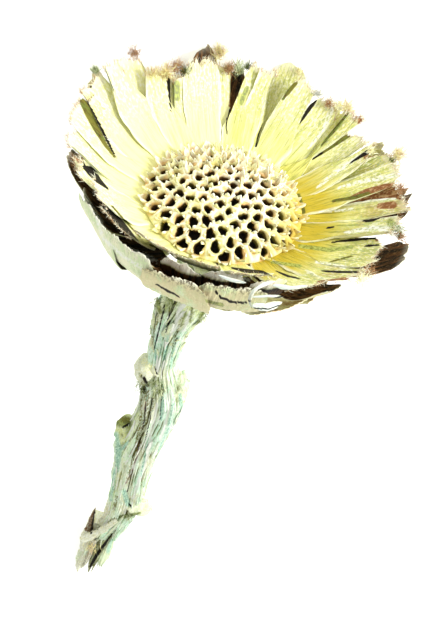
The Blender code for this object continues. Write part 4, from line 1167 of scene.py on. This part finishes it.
def tufts(skins):
    """Fluff and hair tufts at the tips of the bracts, one piece for each colour."""
    draw = np.random.default_rng(SEED + 21)
    pieces = {colour: Piece(f"{colour}_tufts") for colour in skins}
    for colour, x, y, z, spread, count, length, curl in TUFTS:
        foot = seen_at(x, y, z)
        away = unit(np.array((foot[0], foot[1], 0.0))) * 0.8 + np.array((0.0, 0.0, 0.5))
        count = int(count * TUFT_FILL)
        starts = foot + draw.normal(0.0, 0.75, (count, 3)) * spread
        hairs(pieces[colour], draw, starts - away * length * 0.4, np.tile(away, (count, 1)), length * 0.9,
              HAIR_RADIUS, curl, 0.25 + curl * 0.9, steps=5)
    for colour, x, y, spread, count, length in STEM_TUFTS:
        foot = on_stem(x, y)
        starts = foot + draw.normal(0.0, 0.5, (count, 3)) * spread
        down = np.tile((-0.1, -0.35, -0.9), (count, 1))
        hairs(pieces[colour], draw, starts, down, length, HAIR_RADIUS * 1.4, 0.5, 0.5, steps=4)
    for colour, piece in pieces.items():
        piece.build(skins[colour], "cream_bract")


def basal_whorl(skin):
    """Small scales where the head meets the stem."""
    draw = np.random.default_rng(SEED + 4)
    piece = Piece("basal_whorl")
    for i in range(BASAL_COUNT):
        azimuth = 360.0 * i / BASAL_COUNT + draw.uniform(-4.0, 4.0)
        tip = (BASAL_TIP[0] + draw.uniform(-1.6, 0.6), BASAL_TIP[1])
        bract(piece, draw, azimuth, BASAL_ROOT, BASAL_KNEE, tip, BASAL_WIDTHS, (0.9, 0.4), rows=20,
              columns=14, curl=draw.uniform(0.4, 0.8), veins=5, ragged=0.08, rounding=0.2, buckle=0.2,
              green=0.3, warm=0.3, pale=0.0, dark=0.2, red=0.3)
    piece.build(skin, "basal_bract", "basal_bracts")


def stem_course(z):
    """Centre x and radius of the neck and stem at heights z."""
    heights = [-p[1] for p in NECK] + [-p[1] for p in STEM]
    centres = [0.0 for _ in NECK] + [p[0] for p in STEM]
    radii = [p[0] for p in NECK] + [p[2] / 2 for p in STEM]
    return np.interp(-z, heights, centres), np.interp(-z, heights, radii)


def on_stem(x, y):
    """Point of the stem's surface that shows at this pixel of the photograph."""
    z, a = np.meshgrid(np.linspace(-139.0, -20.0, 600), np.linspace(-math.pi, 0.0, 61), indexing="ij")
    centre, radius = stem_course(z)
    points = np.stack((centre + radius * np.cos(a), radius * np.sin(a), z), -1)
    apart = np.linalg.norm(pixels_of(points) - (x, y), axis=-1)
    return points[np.unravel_index(np.argmin(apart), apart.shape)]


def rolling(values, window):
    """Values eased along a line."""
    weights = np.hanning(window + 2)[1:-1]
    padded = np.pad(values, window // 2, mode="edge")
    return np.convolve(padded, weights / weights.sum(), mode="valid")


def rough(points, size, seed):
    """Lumpy height at each point, mostly between -1 and 1, with lumps of about this size."""
    draw = np.random.default_rng(seed)
    waves = 14
    total = np.zeros(points.shape[:-1])
    for _ in range(waves):
        total += np.sin(points @ draw.normal(0, 2.2 / size, 3) + draw.uniform(0, 6.28))
    return total / math.sqrt(waves) / 1.5


def stem(skin):
    """Neck and stem as a tube with ribs, fibres and cracks, with knobs, scales and a torn end."""
    draw = np.random.default_rng(SEED + 5)
    piece = Piece("stem_bark")
    z = np.linspace(NECK[0][1], BARK_END_Z, STEM_ROWS + 1)
    centre, radius = (rolling(values, 17) for values in stem_course(z))
    a = np.linspace(0.0, 2 * math.pi, STEM_SIDES + 1)
    zz, aa = np.meshgrid(z, a, indexing="ij")
    ribbed = np.clip((-zz - 20.0) / 20.0, 0.0, 1.0)
    rib = STEM_RIB_DEPTH * ribbed * np.cos(STEM_RIBS * aa + 0.02 * zz)
    fibre = np.zeros_like(zz)
    for turns in range(7, 62):
        drift, phase = draw.normal(0, 0.10), draw.uniform(0, 6.28)
        wave = np.sin(draw.uniform(0.08, 0.36) * zz + draw.uniform(0, 6.28))
        fibre += np.cos(turns * aa + drift * zz + phase + 1.5 * wave) / turns ** 0.25
    fibre = fibre / 2.8
    crack = smooth((-fibre - 0.72) / 0.40) * smooth((-zz - 12.0) / 8.0)
    ridge = smooth((fibre - 0.10) / 0.5)
    place = np.stack((centre[:, None] + radius[:, None] * np.cos(aa), radius[:, None] * np.sin(aa), zz), -1)
    lumps = rough(place, 2.4, SEED) * 0.16 + rough(place, 7.0, SEED + 1) * 0.22
    spread = radius[:, None] * (1.0 + rib) + (0.22 * fibre + lumps - 0.3 * crack) * smooth((-zz - 8.0) / 10.0)
    points = np.stack((centre[:, None] + spread * np.cos(aa), spread * np.sin(aa), zz), -1)
    high = smooth((zz + 42.0) / 14.0)
    left = smooth(-np.cos(aa) * 1.4 - 0.2)
    low = smooth((-zz - 121.0 - 4.0 * np.cos(aa)) / 3.0) * left
    # Olive at the top is the bark's own; the greener left side from the middle down is painted shade, away
    # from the key light
    olive = np.clip(high * 0.85 + 0.55 * left * smooth((-zz - 70.0) / 10.0) * (1 - low), 0, 1)
    grain = place.reshape(-1, 3)
    seen = smooth(0.5 - 2.0 * np.sin(aa))
    drawn = {kind: (share * seen).ravel() for kind, share in marked(points, STEM_MARKS).items()}
    piece.add(points.reshape(-1, 3), grid_faces(STEM_ROWS, STEM_SIDES), crack=crack.ravel(),
              ridge=ridge.ravel(), green=olive.ravel(), wood=low.ravel(), grain=grain, **drawn)
    cap = np.concatenate((points[-1, :-1], [[centre[-1], 0.0, z[-1] - 0.3]]))
    ring = np.arange(STEM_SIDES)
    fan = np.stack((ring, (ring + 1) % STEM_SIDES, np.full(STEM_SIDES, STEM_SIDES)), -1)
    piece.add(cap, fan, crack=0.5, wood=1.0, grain=cap)
    piece.build(skin, "stem_green", "stem", sharp_deg=70.0)
    trim = Piece("stem_knobs_and_scales")
    knobs(trim)
    torn_end(trim, draw)
    neck_scales(trim, draw)
    fibres(trim, draw)
    trim.build(skin, "stem_green", sharp_deg=70.0)


def fibres(piece, draw):
    """Loose strips of bark that run along the stem, standing a little proud of it."""
    steps = 15
    for _ in range(FIBRE_COUNT):
        foot = draw.uniform(-134.0, -26.0)
        length = draw.uniform(5.0, 16.0)
        z = np.linspace(foot, min(foot + length, -16.0), steps)
        angle = draw.uniform(0, 6.28) + draw.normal(0, 0.10) * np.linspace(0, 1, steps)
        centre, radius = stem_course(z)
        t = np.linspace(0, 1, steps)
        out = np.stack((np.cos(angle), np.sin(angle), np.zeros(steps)), -1)
        side = np.stack((-np.sin(angle), np.cos(angle), np.zeros(steps)), -1)
        lift = 0.12 + 0.30 * (2 * t - 1) ** 4 + 0.10 * wander(draw, steps, 4)
        spine = np.stack((centre, np.zeros(steps), z), -1) + out * (radius + lift)[:, None]
        half = draw.uniform(0.16, 0.45) * (1.0 - 0.9 * (2 * t - 1) ** 4)
        kind = draw.uniform()
        ribbon(piece, draw, spine, side, out, half, np.full(steps, 0.25), 2, curl=-0.05, veins=1,
               vein_depth=0.0, ragged=0.1, rounding=0.0, edge_wave=0.15, buckle=0.05,
               green=draw.uniform(0, 0.6), wood=0.0, crack=0.0, ridge=0.5, white=float(kind < 0.45),
               olive=float(kind > 0.82), teal=float(0.70 < kind < 0.82))


def knobs(piece):
    """Old leaf joints: lumpy swellings, each with its own colour, cracked in their folds."""
    rings, sectors = 30, 44
    for number, ((centre, half), (wood, green)) in enumerate(zip(LEAF_JOINTS, JOINT_LOOKS)):
        u, v = np.meshgrid(np.linspace(0.02, math.pi - 0.02, rings + 1),
                           np.linspace(0, 2 * math.pi, sectors + 1), indexing="ij")
        ball = np.stack((np.sin(u) * np.cos(v), np.sin(u) * np.sin(v), np.cos(u)), -1)
        ball[:, -1] = ball[:, 0]
        shape = ball * np.array(half)
        bumps = rough(shape + number * 50.0, 1.5, SEED + 2)
        fine = rough(shape + number * 50.0, 0.7, SEED + 3)
        points = np.array(centre) + shape * (1.0 + 0.16 * bumps + 0.09 * fine)[..., None]
        fold = smooth((-bumps - 0.55) / 0.6)
        under = smooth((-ball[..., 2] - 0.1) / 0.6)
        if number < TWO_TONED_JOINTS:
            wood_here, green_here = wood * (1 - 0.8 * under), green + 0.8 * under
        else:
            wood_here, green_here = wood + 0 * under, green * (0.45 + 0.55 * (1 - under))
        drawn = {kind: share.ravel() for kind, share in marked(points, STEM_MARKS).items()}
        piece.add(points.reshape(-1, 3), grid_faces(rings, sectors), crack=(fold * 0.9).ravel(),
                  ridge=smooth(bumps).ravel() * 0.5, green=np.clip(green_here, 0, 1).ravel(),
                  wood=np.clip(wood_here, 0, 1).ravel(), grain=points.reshape(-1, 3), **drawn)


def splinter(piece, draw, start, end, width, thick, wood, green, columns=10, rows=26, ragged=0.16,
             taper=0.35, brown=0.0, dark=0.0):
    """Straight torn strip of stem in the plane of the stem's bends, seen on its broad side."""
    start, end = np.array(start), np.array(end)
    t = np.linspace(0.0, 1.0, rows + 1)
    waver = (0.25 * wander(draw, rows + 1, 4))[:, None]
    spine = start + (end - start) * t[:, None] + np.array((0, 1.0, 0)) * waver
    spine[:, 0] += 0.25 * wander(draw, rows + 1, 4)
    direction = unit(end - start)
    side = np.tile(unit(np.cross(direction, (0.0, 1.0, 0.0))), (rows + 1, 1))
    normal = np.tile((0.0, -1.0, 0.0), (rows + 1, 1))
    half = 0.5 * width * (1.0 - taper * t ** 1.4) * (1 + 0.12 * wander(draw, rows + 1, 7)) + 0.03
    ribbon(piece, draw, spine, side, normal, half, thick * (1.0 - 0.5 * t), columns, curl=-0.6, veins=3,
           vein_depth=0.16, ragged=ragged, jags=6, rounding=0.03, edge_wave=0.14, buckle=0.35,
           marks=STEM_MARKS, wood=wood, green=green, crack=0.0, ridge=0.3, rust=brown, olive=dark)


def torn_end(piece, draw):
    """Prongs, the dry leaf's point, the peeled lip and the ragged bark at the cut."""
    (a, b, width, thick), (c, d, wide, deep) = PRONGS
    for y in (-0.6, 0.8, 2.0):
        point = (b[0] + draw.uniform(-0.8, 0.8), y, b[1] + abs(y) * 1.5)
        splinter(piece, draw, (a, y, PRONG_FOOT_Z), point, width * 0.75, thick * 0.5, 1.0, 0.0)
        point = (d[0] + draw.uniform(-0.6, 0.6), y, d[1] + abs(y) * 1.2)
        splinter(piece, draw, (c, y, PRONG_FOOT_Z), point, wide * 0.8, deep * 0.5, 0.0, 0.45)
    for foot, point, y, lean, broad, body, taper, ragged, wood, green, brown, dark in CUT_STRIPS:
        splinter(piece, draw, seen_at(*foot, y=y), seen_at(*point, y=y + lean), broad, body, wood, green,
                 ragged=ragged, taper=taper, brown=brown, dark=dark)
    for _ in range(CHIP_COUNT):
        z = draw.uniform(-142.0, -125.0)
        x = lerp(-7.5, -12.5, (-z - 122.0) / 22.0) + draw.uniform(-3.2, 3.2)
        length = draw.uniform(2.0, 5.5)
        y = draw.uniform(-3.4, -2.0)
        splinter(piece, draw, (x, y, z), (x + draw.uniform(-1.5, 0.8), y, z - length),
                 draw.uniform(0.4, 1.1), 0.3, draw.uniform(0.2, 1.0), draw.uniform(0.0, 0.8), columns=4,
                 rows=8, ragged=0.3)


def neck_scales(piece, draw):
    """Small dry scales pressed to the swollen neck and along the ribs."""
    places = []
    for i in range(NECK_SCALE_COUNT):
        places.append((36.0 * i + (i % 2) * 12.0, -36.0 - 6.0 * (i % 2) - draw.uniform(0, 2), 2.8, 7.0))
    for _ in range(SMALL_SCALE_COUNT):
        places.append((draw.uniform(0, 360), draw.uniform(-52.0, -17.0), draw.uniform(1.2, 2.6),
                       draw.uniform(2.2, 5.0)))
    steps = 9
    for azimuth, foot, width, length in places:
        angle = math.radians(azimuth)
        z = np.linspace(foot, foot + length, steps)
        centre, radius = stem_course(z)
        t = np.linspace(0, 1, steps)
        out = np.array((math.cos(angle), math.sin(angle), 0.0))
        lift = 0.15 + 0.55 * t ** 2
        spine = np.stack((centre, np.zeros(steps), z), -1) + out * (radius + lift)[:, None]
        side = np.tile((-math.sin(angle), math.cos(angle), 0.0), (steps, 1))
        half = width * 0.5 * (1.0 - 0.92 * t ** 2)
        ribbon(piece, draw, spine, side, np.tile(out, (steps, 1)), half, 0.45 - 0.25 * t, 6,
               curl=-0.15 * width, veins=2, vein_depth=0.05, ragged=0.08, rounding=0.05, edge_wave=0.12,
               buckle=0.12, marks=STEM_MARKS, wood=draw.uniform(0.0, 0.9), green=draw.uniform(0.3, 1.0),
               crack=0.0, ridge=0.2)


# Camera, floor and lights


def camera():
    """Camera at the photograph's angle, with the photograph's size of a pixel at the head."""
    right, up, back = photo_axes()
    data = bpy.data.cameras.new("photo_camera")
    data.sensor_width = SENSOR
    data.lens = VIEW_DISTANCE / MM_PER_PIXEL * SENSOR / PHOTO_SIZE[1]
    data.clip_start = 0.01
    data.clip_end = 20.0
    made = bpy.data.objects.new("photo_camera", data)
    turned = POSE.to_3x3().normalized() @ Matrix((right, up, back)).transposed()
    made.matrix_world = Matrix.Translation(POSE @ camera_place()) @ turned.to_4x4()
    bpy.context.scene.collection.objects.link(made)
    bpy.context.scene.camera = made


def floor():
    """Plain pale floor that glows a little, for the over-exposed background."""
    mesh = bpy.data.meshes.new("floor")
    corners = [(x * FLOOR_HALF, y * FLOOR_HALF, 0) for x, y in ((-1, -1), (1, -1), (1, 1), (-1, 1))]
    mesh.from_pydata(corners, [], [(0, 1, 2, 3)])
    pale = Finish("pale_floor", roughness=0.9)
    pale.colour(FLOOR_WHITE)
    pale.set(pale.shader.inputs["Emission Color"], (1.0, 1.0, 1.0))
    pale.set(pale.shader.inputs["Emission Strength"], FLOOR_GLOW)
    mesh.materials.append(pale.material)
    made = bpy.data.objects.new("floor", mesh)
    bpy.context.scene.collection.objects.link(made)


def area_light(name, direction, distance, size, power):
    """Soft light that shines on the head from a direction in the photograph: right, up and back."""
    right, up, back = photo_axes()
    aim = (right * direction[0] + up * direction[1] + back * direction[2]).normalized()
    world_aim = (POSE.to_3x3().normalized() @ aim).normalized()
    target = POSE @ Vector((0.0, 0.0, 5.0))
    data = bpy.data.lights.new(name, "AREA")
    data.shape = "DISK"
    data.size = size
    data.energy = power
    made = bpy.data.objects.new(name, data)
    made.location = target + world_aim * distance
    made.rotation_mode = "QUATERNION"
    made.rotation_quaternion = world_aim.to_track_quat("Z", "Y")
    bpy.context.scene.collection.objects.link(made)


def studio():
    """Even white room and one soft light from the right."""
    world = bpy.data.worlds.new("studio")
    world.use_nodes = True
    world.node_tree.nodes["Background"].inputs["Color"].default_value = (1.0, 1.0, 1.0, 1.0)
    world.node_tree.nodes["Background"].inputs["Strength"].default_value = ROOM_STRENGTH
    bpy.context.scene.world = world
    area_light("key_light", *KEY_LIGHT)
    view = bpy.context.scene.view_settings
    view.view_transform = "Standard"
    view.exposure = 0.0


receptacle(disc_skin())
scales(scale_skin())
inner_whorl(bract_skin("cream_bract_skin", (CREAM, LEAF_YELLOW), (SAGE, CREAM)),
            hair_skin("fringe", IVORY, TAN))
tufts(tuft_skins())
middle_whorl(bract_skin("brown_bract_skin", (CREAM, LEAF_YELLOW), (SAGE, CREAM)))
loose_curls(bract_skin("loose_curl_skin", (GREY_MINT, SAGE), (SAGE, MINT)))
outer_whorl(bract_skin("green_bract_skin", (CREAM, TAN), (APPLE, PARCHMENT), rim_share=0.9, rim_start=0.94))
basal_whorl(bract_skin("basal_bract_skin", (SAGE, LEAF_YELLOW), (LEAF_YELLOW, SAGE)))
stem(stem_skin())
camera()
floor()
studio()
